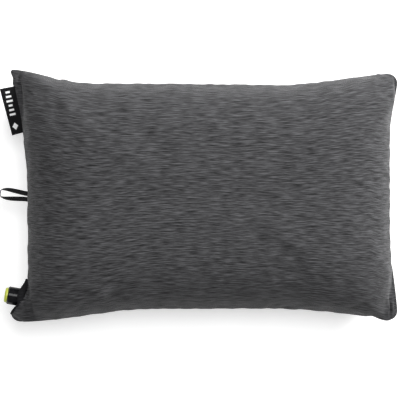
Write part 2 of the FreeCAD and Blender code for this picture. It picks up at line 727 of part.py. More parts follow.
def check_and_write(parts):
    """Stops on any failed object or open solid, then writes one STEP file for each piece."""
    doc.recompute()
    bad = [thing.Name for thing in doc.Objects if {"Invalid", "Error"} & set(thing.State)]
    if bad:
        raise SystemExit(f"failed objects: {bad}")
    for part in parts:
        shape = part.Shape
        if shape.isNull() or not shape.isValid() or not shape.Solids:
            raise SystemExit(f"{part.Label} has no valid solid")
    os.makedirs("parts", exist_ok=True)
    for part in parts:
        size = part.Shape.BoundBox
        print(f"{part.Label:24s} solids {len(part.Shape.Solids)}  {part.Shape.Volume / 1000:9.3f} cm3  "
              f"x {size.XMin:7.1f} {size.XMax:7.1f}  y {size.YMin:7.1f} {size.YMax:7.1f}  "
              f"z {size.ZMin:6.1f} {size.ZMax:6.1f}")
        part.Shape.exportStep(os.path.join("parts", f"{part.Label}.step"))


RELIEF_START = -25
valve_relief = valve_room("valve_relief", S["relief_radius"], number(RELIEF_START))
case, port = case_parts(valve_relief)
parts = case + filling_parts(port, valve_relief) + valve_parts() + [label_piece(), hang_loop()]
check_and_write(parts)
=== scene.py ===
"""Looks of an inflatable camp pillow: knit case, filling, mouth valve, sewn label and hang loop.

Frame: metres, +Z up, origin under the middle of the pillow. The valve, loop and label are on the -X end.
"""
import logging
import math
from collections.abc import Callable
from dataclasses import dataclass, field
from enum import Enum

import bmesh
import bpy
import numpy as np
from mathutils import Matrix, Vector
from mathutils.bvhtree import BVHTree


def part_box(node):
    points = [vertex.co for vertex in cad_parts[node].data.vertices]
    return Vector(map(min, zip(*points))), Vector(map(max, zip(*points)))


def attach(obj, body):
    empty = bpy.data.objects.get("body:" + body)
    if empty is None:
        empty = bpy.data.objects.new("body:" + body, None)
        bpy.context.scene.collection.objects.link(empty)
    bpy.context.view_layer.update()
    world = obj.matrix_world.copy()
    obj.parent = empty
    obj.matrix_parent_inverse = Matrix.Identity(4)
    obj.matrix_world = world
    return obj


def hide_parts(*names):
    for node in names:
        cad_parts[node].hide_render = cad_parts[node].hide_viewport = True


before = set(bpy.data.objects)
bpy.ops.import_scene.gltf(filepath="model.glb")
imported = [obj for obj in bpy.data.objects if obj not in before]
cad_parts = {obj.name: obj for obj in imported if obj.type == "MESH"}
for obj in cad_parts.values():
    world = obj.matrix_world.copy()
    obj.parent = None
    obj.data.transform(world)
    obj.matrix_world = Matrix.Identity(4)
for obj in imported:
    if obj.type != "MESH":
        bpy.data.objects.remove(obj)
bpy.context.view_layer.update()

LOG = logging.getLogger("camp_pillow")
MM = 0.001
# Vertices closer than this are one.
MERGE_GAP = 0.01 * MM
# How square the case's shoulders are, and how finely their arc is measured.
DOME_POWER, DOME_ROOT = 2.5, 0.46
ARC_STEPS = 2000
# How a crease fades towards its two ends.
CREASE_SHARE, CREASE_START, CREASE_POWER = 0.9, 0.05, 0.7
# X and Y direction of each corner: front left, front right, rear left, rear right.
CORNER_SIGNS = ((-1, -1), (1, -1), (-1, 1), (1, 1))


class Body(Enum):
    """CAD bodies that pieces ride on."""

    PILLOW = "pillow"
    LABEL = "label"
    LOOP = "loop"


class Slot(Enum):
    """Material slots of the record."""

    KNIT_FACE = "knit_face"
    KNIT_BACK = "knit_back"
    BINDING = "binding"
    RIBBON = "ribbon"
    LABEL_RIBBON = "label_ribbon"
    FOAM = "foam"


class Half(Enum):
    """The two halves of the case, each with its direction from the seam plane."""

    FACE = 1.0
    BACK = -1.0


# Bench tools -------------------------------------------------------------

def deselect() -> None:
    """Clears the selection, because operators act on all that is selected."""
    if bpy.context.object and bpy.context.object.mode != "OBJECT":
        bpy.ops.object.mode_set(mode="OBJECT")
    bpy.ops.object.select_all(action="DESELECT")


def pick(obj: bpy.types.Object) -> bpy.types.Object:
    """Makes obj the one selected and active object.

    Args:
        obj: the object to work on.

    Returns:
        The same object.
    """
    deselect()
    obj.select_set(True)
    bpy.context.view_layer.objects.active = obj
    return obj


def edit(obj: bpy.types.Object, *steps: Callable[[], object], everything: bool = True) -> None:
    """Runs mesh operators on the object in edit mode.

    Args:
        obj: the object to work on.
        steps: the operators, in order.
        everything: True to select the whole mesh first, False to keep what is selected.
    """
    pick(obj)
    bpy.ops.object.mode_set(mode="EDIT")
    if everything:
        bpy.ops.mesh.select_all(action="SELECT")
    for step in steps:
        step()
    bpy.ops.object.mode_set(mode="OBJECT")


def face_outwards() -> None:
    """Turns the selected faces outwards; for edit mode."""
    bpy.ops.mesh.normals_make_consistent(inside=False)


def joined(pieces: list[bpy.types.Object], name: str) -> bpy.types.Object:
    """Joins the pieces into the first of them.

    Args:
        pieces: the objects to join.
        name: the result's name.

    Returns:
        The first piece, with all of them in its mesh.
    """
    deselect()
    for piece in pieces:
        piece.select_set(True)
    made = pieces[0]
    bpy.context.view_layer.objects.active = made
    bpy.ops.object.join()
    made.name = made.data.name = name
    return made


def points_of(obj: bpy.types.Object) -> np.ndarray:
    """Returns the object's vertices as an N by 3 array."""
    flat = np.zeros(len(obj.data.vertices) * 3)
    obj.data.vertices.foreach_get("co", flat)
    return flat.reshape(-1, 3)


def put_points(obj: bpy.types.Object, points: np.ndarray) -> None:
    """Writes an N by 3 array back to the object's vertices."""
    obj.data.vertices.foreach_set("co", points.ravel())
    obj.data.update()


def normals_of(obj: bpy.types.Object) -> np.ndarray:
    """Returns the vertices' normals as an N by 3 array."""
    flat = np.zeros(len(obj.data.vertices) * 3, np.float32)
    obj.data.vertex_normals.foreach_get("vector", flat)
    return flat.reshape(-1, 3).astype(float)


def apply_modifier(obj: bpy.types.Object, kind: str, **settings: object) -> None:
    """Adds a modifier, sets it up and applies it.

    Args:
        obj: the object to change.
        kind: Blender's name of the modifier type.
        settings: the modifier's properties.
    """
    pick(obj)
    modifier = obj.modifiers.new(kind.title(), kind)
    for name, value in settings.items():
        setattr(modifier, name, value)
    bpy.ops.object.modifier_apply(modifier=modifier.name)


def smoothstep(value: np.ndarray) -> np.ndarray:
    """Eases 0..1 with flat ends; values outside are clipped."""
    eased = np.clip(value, 0.0, 1.0)
    return eased * eased * (3.0 - 2.0 * eased)


def flattened(value: np.ndarray, power: float) -> np.ndarray:
    """Raises the size of each value to a power and keeps its sign; below 1 it squares off a round section."""
    return np.sign(value) * np.abs(value) ** power


def sheet_grid(name: str, across: int, along: int) -> bpy.types.Object:
    """Adds a flat grid from -1 to 1 both ways, to be shaped.

    Args:
        name: the object's name.
        across: cells along X.
        along: cells along Y.

    Returns:
        The grid, with a UV map.
    """
    deselect()
    bpy.ops.mesh.primitive_grid_add(x_subdivisions=across, y_subdivisions=along, size=2.0)
    made = bpy.context.object
    made.name = made.data.name = name
    return made


def relaxed(obj: bpy.types.Object, field_values: np.ndarray, steps: int) -> np.ndarray:
    """Smooths a value given at each vertex, by averaging it with the vertex's neighbours.

    Args:
        obj: the mesh that the values belong to.
        field_values: values, one row for each vertex.
        steps: how many times to average.

    Returns:
        The smoothed values.
    """
    edges = np.zeros(len(obj.data.edges) * 2, int)
    obj.data.edges.foreach_get("vertices", edges)
    first, second = edges.reshape(-1, 2).T
    count = len(field_values)
    degree = np.bincount(first, minlength=count) + np.bincount(second, minlength=count)
    smooth = field_values.copy()
    for _ in range(steps):
        total = np.column_stack([np.bincount(first, smooth[second, axis], count)
                                 + np.bincount(second, smooth[first, axis], count)
                                 for axis in range(smooth.shape[1])])
        smooth = (smooth + total / degree[:, None]) / 2
    return smooth


def recalculate(obj: bpy.types.Object) -> None:
    """Merges doubled vertices and turns the faces outwards."""
    edit(obj, lambda: bpy.ops.mesh.remove_doubles(threshold=MERGE_GAP), face_outwards)


def cloth_map(obj: bpy.types.Object, places: np.ndarray) -> None:
    """Writes each vertex's place on the flat cloth, in metres, to the UV map that the weaves follow.

    Args:
        obj: the piece.
        places: one pair for each vertex.
    """
    layers = obj.data.uv_layers
    layer = layers[0] if layers else layers.new()
    layer.name = "cloth"
    corners = np.zeros(len(obj.data.loops), int)
    obj.data.loops.foreach_get("vertex_index", corners)
    layer.data.foreach_set("uv", places[corners].ravel())


def lay(obj: bpy.types.Object, points: np.ndarray, places: np.ndarray) -> None:
    """Shapes a piece made of cloth, and turns its faces outwards.

    Args:
        obj: the piece.
        points: its vertices.
        places: each vertex's place on the flat cloth, in metres.
    """
    put_points(obj, points)
    cloth_map(obj, places)
    recalculate(obj)


def thicken(obj: bpy.types.Object, thickness: float, offset: float = 0.0) -> None:
    """Gives a surface its thickness.

    Args:
        obj: the piece.
        thickness: in metres.
        offset: -1 to grow inwards, 0 to grow both ways.
    """
    apply_modifier(obj, "SOLIDIFY", thickness=thickness, offset=offset, use_rim=True)


def shade(obj: bpy.types.Object, degrees: float = 40.0) -> None:
    """Shades the object smooth, with edges sharper than the angle kept crisp."""
    pick(obj)
    bpy.ops.object.shade_smooth_by_angle(angle=math.radians(degrees))


def dress(obj: bpy.types.Object, finish: bpy.types.Material) -> None:
    """Gives the piece its one material.

    Args:
        obj: the piece.
        finish: the material.
    """
    obj.data.materials.clear()
    obj.data.materials.append(finish)
    for face in obj.data.polygons:
        face.material_index = 0


def report(obj: bpy.types.Object) -> None:
    """Logs a finished piece with its face count."""
    LOG.info("%s: %d faces", obj.name, len(obj.data.polygons))


# Shader groups -----------------------------------------------------------

class Board:
    """A node tree under construction."""

    def __init__(self, tree: bpy.types.NodeTree) -> None:
        """Starts on an existing tree."""
        self.tree = tree

    def add(self, kind: str, inputs: dict | None = None, **settings: object) -> bpy.types.Node:
        """Adds a node, sets its properties and joins or sets its inputs.

        Args:
            kind: the node's type.
            inputs: input name or index to a socket to join, or a value to set.
            settings: the node's own properties.

        Returns:
            The node.
        """
        node = self.tree.nodes.new(kind)
        for name, value in settings.items():
            setattr(node, name, value)
        return self.feed(node, inputs or {})

    def feed(self, node: bpy.types.Node, inputs: dict) -> bpy.types.Node:
        """Joins or sets a node's inputs.

        Args:
            node: the node.
            inputs: input name or index to a socket to join, or a value to set.

        Returns:
            The same node.
        """
        for key, value in inputs.items():
            if isinstance(value, bpy.types.NodeSocket):
                self.tree.links.new(value, node.inputs[key])
            else:
                node.inputs[key].default_value = value
        return node

    def math(self, operation: str, *values: object) -> bpy.types.NodeSocket:
        """Returns the output of a Math node fed with sockets or numbers."""
        return self.add("ShaderNodeMath", dict(enumerate(values)), operation=operation).outputs[0]

    def angle(self, place: bpy.types.NodeSocket, pitch: bpy.types.NodeSocket) -> bpy.types.NodeSocket:
        """Returns a place as an angle that makes one turn in each pitch."""
        return self.math("DIVIDE", self.math("MULTIPLY", place, 2.0 * math.pi), pitch)

    def noise(self, vector: object, scale: object, detail: float, roughness: float = 0.5) -> bpy.types.NodeSocket:
        """Returns the value of a noise texture.

        Args:
            vector: the socket that places it.
            scale: a number or socket.
            detail: how many finer layers it has.
            roughness: how strong they are.
        """
        return self.add("ShaderNodeTexNoise", {
            "Vector": vector, "Scale": scale, "Detail": detail, "Roughness": roughness}).outputs[0]

    def band(self, value: bpy.types.NodeSocket, low: float, high: float) -> bpy.types.NodeSocket:
        """Returns how far a value is from low to high, 0 to 1."""
        return self.add("ShaderNodeMapRange", {"Value": value, "From Min": low, "From Max": high}).outputs[0]

    def ramp(self, factor: bpy.types.NodeSocket, *stops: tuple) -> bpy.types.NodeSocket:
        """Returns a colour ramp's colour.

        Args:
            factor: the socket that drives it.
            stops: (position, colour) pairs; a colour is a grey value or three numbers.
        """
        node = self.add("ShaderNodeValToRGB", {0: factor})
        marks = node.color_ramp.elements
        while len(marks) < len(stops):
            marks.new(0.5)
        for mark, (place, tone) in zip(marks, stops):
            mark.position = place
            mark.color = (*((tone,) * 3 if isinstance(tone, float) else tone), 1.0)
        return node.outputs[0]

    def mix(self, factor: object, first: object, second: object) -> bpy.types.NodeSocket:
        """Returns the blend of two colours; a number or socket says how much of the second."""
        tones = [tone if isinstance(tone, bpy.types.NodeSocket) else (*tone, 1.0) for tone in (first, second)]
        node = self.add("ShaderNodeMix", {0: factor, 6: tones[0], 7: tones[1]}, data_type="RGBA")
        return node.outputs[2]

    def bump(self, height: object, depth: float, strength: float) -> bpy.types.NodeSocket:
        """Returns the normal that a relief gives.

        Args:
            height: the height socket.
            depth: how deep the relief is, in metres.
            strength: how much of it shows.
        """
        return self.add("ShaderNodeBump", {"Height": height, "Distance": depth, "Strength": strength}).outputs[0]


class GroupMaker:
    """Base of the shared shader groups; each is built once and reused."""

    name = "group"
    inputs: tuple = ()
    outputs: tuple = ()

    def tree(self) -> bpy.types.NodeTree:
        """Returns the group's tree, building it the first time."""
        found = bpy.data.node_groups.get(self.name)
        if found:
            return found
        made = bpy.data.node_groups.new(self.name, "ShaderNodeTree")
        for label, kind, default in self.inputs:
            socket = made.interface.new_socket(label, in_out="INPUT", socket_type=kind)
            if default is not None:
                socket.default_value = default
        for label, kind in self.outputs:
            made.interface.new_socket(label, in_out="OUTPUT", socket_type=kind)
        board = Board(made)
        source = board.add("NodeGroupInput")
        sink = board.add("NodeGroupOutput")
        board.feed(sink, self.build(board, source.outputs))
        return made

    def build(self, board: Board, given: object) -> dict:
        """Builds the nodes; returns output name to socket."""
        raise NotImplementedError

    def place(self, board: Board, inputs: dict) -> object:
        """Places the group in a material.

        Args:
            board: the material's board.
            inputs: input name to socket or value.

        Returns:
            The group node's outputs.
        """
        return board.add("ShaderNodeGroup", inputs, node_tree=self.tree()).outputs


class HeatherStreaks(GroupMaker):
    """Short streaks of lighter and darker yarn that run along a fabric's first direction."""

    name = "heather_streaks"
    inputs = (("Vector", "NodeSocketVector", None), ("Streak Length", "NodeSocketFloat", 0.012),
              ("Streak Height", "NodeSocketFloat", 0.0011), ("Seed", "NodeSocketFloat", 0.0))
    outputs = (("Tone", "NodeSocketFloat"), ("Height", "NodeSocketFloat"))
    sizes = (1.0, 1.9)
    shares = (0.66, 0.34)
    wander = 0.0010

    def build(self, board: Board, given: object) -> dict:
        """Builds two sizes of stretched noise, wandering a little, and their mix."""
        wander = board.add("ShaderNodeTexNoise", {"Vector": given["Vector"], "Scale": 45.0, "Detail": 1.0})
        shift = board.add("ShaderNodeVectorMath", {0: wander.outputs["Color"], 1: (0.5, 0.5, 0.5)},
                          operation="SUBTRACT")
        shift = board.add("ShaderNodeVectorMath", {0: shift.outputs[0], "Scale": self.wander}, operation="SCALE")
        bent = board.add("ShaderNodeVectorMath", {0: given["Vector"], 1: shift.outputs[0]}, operation="ADD")
        split = board.add("ShaderNodeSeparateXYZ", {0: bent.outputs[0]})
        layers = []
        for size in self.sizes:
            length = board.math("MULTIPLY", given["Streak Length"], size)
            height = board.math("MULTIPLY", given["Streak Height"], size)
            place = board.add("ShaderNodeCombineXYZ", {
                0: board.math("DIVIDE", split.outputs[0], length),
                1: board.math("DIVIDE", split.outputs[1], height),
                2: board.math("ADD", given["Seed"], size)})
            layers.append(board.noise(place.outputs[0], 1.0, 2.0, 0.55))
        parts = [board.math("MULTIPLY", layer, share) for layer, share in zip(layers, self.shares)]
        return {"Tone": board.math("ADD", *parts), "Height": layers[0]}


class KnitLoops(GroupMaker):
    """Fine columns of knit loops, as heights."""

    name = "knit_loops"
    inputs = (("Vector", "NodeSocketVector", None), ("Pitch", "NodeSocketFloat", 0.0008))
    outputs = (("Height", "NodeSocketFloat"),)

    def build(self, board: Board, given: object) -> dict:
        """Crosses two sine waves, the one across a loop twice as fine as the one along it."""
        split = board.add("ShaderNodeSeparateXYZ", {0: given["Vector"]})
        across, along = (board.angle(split.outputs[axis], given["Pitch"]) for axis in (0, 1))
        bend = board.math("ABSOLUTE", board.math("SINE", board.math("MULTIPLY", across, 0.5)))
        loops = board.math("SINE", board.math("ADD", along, board.math("MULTIPLY", bend, 2.0)))
        return {"Height": board.math("MULTIPLY", board.math("ADD", loops, bend), 0.5)}


class WovenRibs(GroupMaker):
    """Ribs of a woven ribbon, with a finer cross thread."""

    name = "woven_ribs"
    inputs = (("Vector", "NodeSocketVector", None), ("Rib", "NodeSocketFloat", 0.0006))
    outputs = (("Height", "NodeSocketFloat"), ("Tone", "NodeSocketFloat"))
    rib_depth = 0.35
    cross_depth = 0.15
    cross_pitch = 0.7
    mottle = 900.0

    def build(self, board: Board, given: object) -> dict:
        """Crosses ribs with threads and mottles them a little."""
        split = board.add("ShaderNodeSeparateXYZ", {0: given["Vector"]})
        fine = board.math("MULTIPLY", given["Rib"], self.cross_pitch)
        ribs, cross = (board.math("SINE", board.angle(split.outputs[axis], pitch))
                       for axis, pitch in ((0, given["Rib"]), (1, fine)))
        height = board.math("ADD", board.math("MULTIPLY", ribs, self.rib_depth),
                            board.math("MULTIPLY", cross, self.cross_depth))
        return {"Height": board.math("ADD", height, 0.5), "Tone": board.noise(given["Vector"], self.mottle, 2.0)}


class Grain(GroupMaker):
    """Fine moulded or cast grain with larger soft mottling."""

    name = "grain"
    inputs = (("Vector", "NodeSocketVector", None), ("Scale", "NodeSocketFloat", 900.0))
    outputs = (("Height", "NodeSocketFloat"), ("Mottle", "NodeSocketFloat"))
    broad = 0.05

    def build(self, board: Board, given: object) -> dict:
        """Builds a fine noise and one at a twentieth of its scale."""
        broad = board.math("MULTIPLY", given["Scale"], self.broad)
        return {"Height": board.noise(given["Vector"], given["Scale"], 3.0),
                "Mottle": board.noise(given["Vector"], broad, 2.0)}


class EdgeWear(GroupMaker):
    """Mask of edges that stand proud and rub, broken up by noise."""

    name = "edge_wear"
    inputs = (("Vector", "NodeSocketVector", None), ("Break Up", "NodeSocketFloat", 220.0))
    outputs = (("Mask", "NodeSocketFloat"),)
    proud = (0.52, 0.62)
    patches = (0.35, 0.65)

    def build(self, board: Board, given: object) -> dict:
        """Takes the pointed places and multiplies them by noise."""
        pointed = board.add("ShaderNodeNewGeometry").outputs["Pointiness"]
        noise = board.noise(given["Vector"], given["Break Up"], 3.0)
        return {"Mask": board.math("MULTIPLY", board.band(pointed, *self.proud), board.band(noise, *self.patches))}


# Finishes ----------------------------------------------------------------

@dataclass(frozen=True)
class Finish:
    """Base of the finishes: a material of one name, made once."""

    name: str

    def material(self) -> bpy.types.Material:
        """Returns the material, building it the first time."""
        found = bpy.data.materials.get(self.name)
        if found:
            return found
        made = bpy.data.materials.new(self.name)
        made.use_nodes = True
        made.node_tree.nodes.clear()
        board = Board(made.node_tree)
        surface = board.add("ShaderNodeBsdfPrincipled")
        board.add("ShaderNodeOutputMaterial", {0: surface.outputs[0]})
        self.paint(board, surface)
        return made

    def paint(self, board: Board, surface: bpy.types.Node) -> None:
        """Builds the finish on the material's board."""
        raise NotImplementedError


@dataclass(frozen=True)
class HeatherKnit(Finish):
    """Stretch knit of mixed dark and light yarn, lit along its brushed surface."""

    dark: float = 0.010
    middle: float = 0.044
    light: float = 0.092
    streak_length: float = 0.014
    streak_height: float = 0.00085
    sheen: float = 0.16
    sheen_roughness: float = 0.45
    roughness: float = 0.85
    gloss: float = 0.15
    rub: float = 0.25
    loop_share: float = 0.35
    relief: float = 0.0006
    stops: tuple = (0.38, 0.50, 0.63)
    tint: tuple = (1.0, 1.0, 1.05)

    def paint(self, board: Board, surface: bpy.types.Node) -> None:
        """Colours by streaks, with loops and streaks as relief."""
        cloth = board.add("ShaderNodeUVMap", uv_map="cloth").outputs[0]
        streaks = HeatherStreaks().place(board, {
            "Vector": cloth, "Streak Length": self.streak_length, "Streak Height": self.streak_height})
        loops = KnitLoops().place(board, {"Vector": cloth})
        greys = zip(self.stops, (self.dark, self.middle, self.light))
        tones = [(stop, tuple(grey * part for part in self.tint)) for stop, grey in greys]
        colour = board.ramp(streaks["Tone"], *tones)
        wear = EdgeWear().place(board, {"Vector": cloth})
        colour = board.mix(board.math("MULTIPLY", wear["Mask"], self.rub), colour, (self.light,) * 3)
        height = board.math("ADD", board.math("MULTIPLY", loops["Height"], self.loop_share), streaks["Height"])
        board.feed(surface, {
            "Base Color": colour, "Normal": board.bump(height, self.relief, 0.5), "Roughness": self.roughness,
            "Specular IOR Level": self.gloss, "Sheen Weight": self.sheen, "Sheen Roughness": self.sheen_roughness})


@dataclass(frozen=True)
class Ribbon(Finish):
    """Woven ribbon or binding."""

    colour: tuple = (0.010, 0.010, 0.012)
    rib: float = 0.0006
    roughness: float = 0.6
    gloss: float = 0.12
    relief: float = 0.00025
    thread_gain: float = 1.6
    thread_floor: float = 0.002

    def paint(self, board: Board, surface: bpy.types.Node) -> None:
        """Mottles the colour a little and ribs the surface."""
        cloth = board.add("ShaderNodeUVMap", uv_map="cloth").outputs[0]
        ribs = WovenRibs().place(board, {"Vector": cloth, "Rib": self.rib})
        lighter = tuple(min(1.0, part * self.thread_gain + self.thread_floor) for part in self.colour)
        board.feed(surface, {
            "Base Color": board.mix(ribs["Tone"], self.colour, lighter),
            "Normal": board.bump(ribs["Height"], self.relief, 0.6),
            "Roughness": self.roughness, "Specular IOR Level": self.gloss})


@dataclass(frozen=True)
class Moulded(Finish):
    """Moulded plastic, rubber or film on Object coordinates."""

    colour: tuple = (0.012, 0.012, 0.014)
    worn: tuple = (0.05, 0.05, 0.055)
    roughness: float = 0.2
    grain: float = 1400.0
    relief: float = 0.00004
    gloss: float = 0.5
    coat: float = 0.0
    coat_roughness: float = 0.08
    shade_share: float = 0.75
    rub: float = 0.5
    rough_spread: float = 0.12

    def paint(self, board: Board, surface: bpy.types.Node) -> None:
        """Mottles colour and roughness, rubs the edges and grains the surface."""
        place = board.add("ShaderNodeTexCoord").outputs["Object"]
        grain = Grain().place(board, {"Vector": place, "Scale": self.grain})
        wear = EdgeWear().place(board, {"Vector": place})
        deeper = tuple(part * self.shade_share for part in self.colour)
        colour = board.mix(grain["Mottle"], deeper, self.colour)
        colour = board.mix(board.math("MULTIPLY", wear["Mask"], self.rub), colour, self.worn)
        spread = board.math("MULTIPLY", grain["Mottle"], self.rough_spread)
        board.feed(surface, {
            "Base Color": colour, "Normal": board.bump(grain["Height"], self.relief, 0.4),
            "Roughness": board.math("ADD", spread, self.roughness - self.rough_spread / 2),
            "Specular IOR Level": self.gloss, "Coat Weight": self.coat, "Coat Roughness": self.coat_roughness})


KNIT_FACE = HeatherKnit("heather_knit_face")
KNIT_BACK = HeatherKnit("plain_knit_back", dark=0.022, middle=0.034, light=0.05, streak_length=0.005)
SEAM_TAPE = Ribbon("black_binding", colour=(0.006, 0.006, 0.007), rib=0.0009, roughness=0.7)
LOOP_RIBBON = Ribbon("black_loop_ribbon", colour=(0.005, 0.005, 0.006), rib=0.0008, roughness=0.5)
LABEL_WEAVE = Ribbon("black_label_weave", colour=(0.003, 0.003, 0.0035), rib=0.0005)
WHITE_WEAVE = Ribbon("white_label_weave", colour=(0.75, 0.75, 0.76), rib=0.0005)
STITCH = Ribbon("dark_stitching", colour=(0.02, 0.02, 0.022), rib=0.0004)
OPEN_FOAM = Moulded("open_cell_foam", colour=(0.72, 0.70, 0.62), worn=(0.75, 0.72, 0.64), roughness=0.95,
                    grain=1100.0, relief=0.0006)
CELL_FILM = Moulded("coated_film", colour=(0.10, 0.11, 0.12), worn=(0.13, 0.14, 0.15), roughness=0.45,
                    grain=600.0, relief=0.0001)
GLOSS_BLACK = Moulded("gloss_black_plastic", colour=(0.005, 0.005, 0.006), worn=(0.02, 0.02, 0.022), roughness=0.15,
                      gloss=0.16, coat=0.06)
LIME_TIP = Moulded("yellow_green_plastic", colour=(0.54, 0.60, 0.06), worn=(0.62, 0.66, 0.15), roughness=0.4)
SEAL_RUBBER = Moulded("seal_rubber", colour=(0.04, 0.04, 0.042), roughness=0.6, relief=0.00008)

CARRIED_NODES = {
    "air_cell_top_film": CELL_FILM, "air_cell_bottom_film": CELL_FILM,
    **{f"air_cell_web_{index}": CELL_FILM for index in range(1, 5)},
    "valve_fitment": CELL_FILM, "valve_stem": GLOSS_BLACK, "valve_post": GLOSS_BLACK,
    "valve_collar": GLOSS_BLACK, "check_flap_seat": GLOSS_BLACK, "mouthpiece_circlip": GLOSS_BLACK,
    "valve_mouthpiece": LIME_TIP, "check_flap": SEAL_RUBBER, "mouthpiece_o_ring": SEAL_RUBBER,
    "plug_o_ring": SEAL_RUBBER,
}


# Form of the case --------------------------------------------------------

@dataclass(frozen=True)
class SideBow:
    """How one side of the seam pulls in between its two corners.

    The reach says how far from each corner the pull grows, as a share of half the side, and the power how late. Each
    pucker is a place along the side from its middle, a width and a depth.
    """

    depth: float
    start_reach: float
    start_power: float
    end_reach: float
    end_power: float
    puckers: tuple = ()

    def inward(self, along: np.ndarray, half_length: float) -> np.ndarray:
        """Gives how far the side is pulled in.

        Args:
            along: place on the side, -1 at its start to 1 at its end.
            half_length: half of the side, in metres, to place the puckers.

        Returns:
            The distance from the straight line between the corners.
        """
        reach = np.where(along < 0, self.start_reach, self.end_reach)
        power = np.where(along < 0, self.start_power, self.end_power)
        share = np.clip((1.0 - np.abs(along)) / reach, 0.0, 1.0)
        pulled = self.depth * np.sin(np.pi / 2 * share) ** power
        for place, width, deep in self.puckers:
            pulled = pulled + deep * np.exp(-(((along * half_length - place) / width) ** 2))
        return pulled


@dataclass(frozen=True)
class Crease:
    """A fold in the case, in millimetres, seen from above: from start to end, this wide, this much proud."""

    start: tuple
    end: tuple
    width: float
    height: float

    def lift(self, points: np.ndarray) -> np.ndarray:
        """Returns how far each point is lifted along its normal."""
        a, b = np.array(self.start) * MM, np.array(self.end) * MM
        run = b - a
        share = np.clip(((points[:, :2] - a) @ run) / (run @ run), 0.0, 1.0)
        gap = np.linalg.norm(points[:, :2] - (a + share[:, None] * run), axis=1)
        taper = np.sin(np.pi * np.clip(share * CREASE_SHARE + CREASE_START, 0.0, 1.0)) ** CREASE_POWER
        return self.height * MM * np.exp(-((gap / (self.width * MM)) ** 2)) * taper


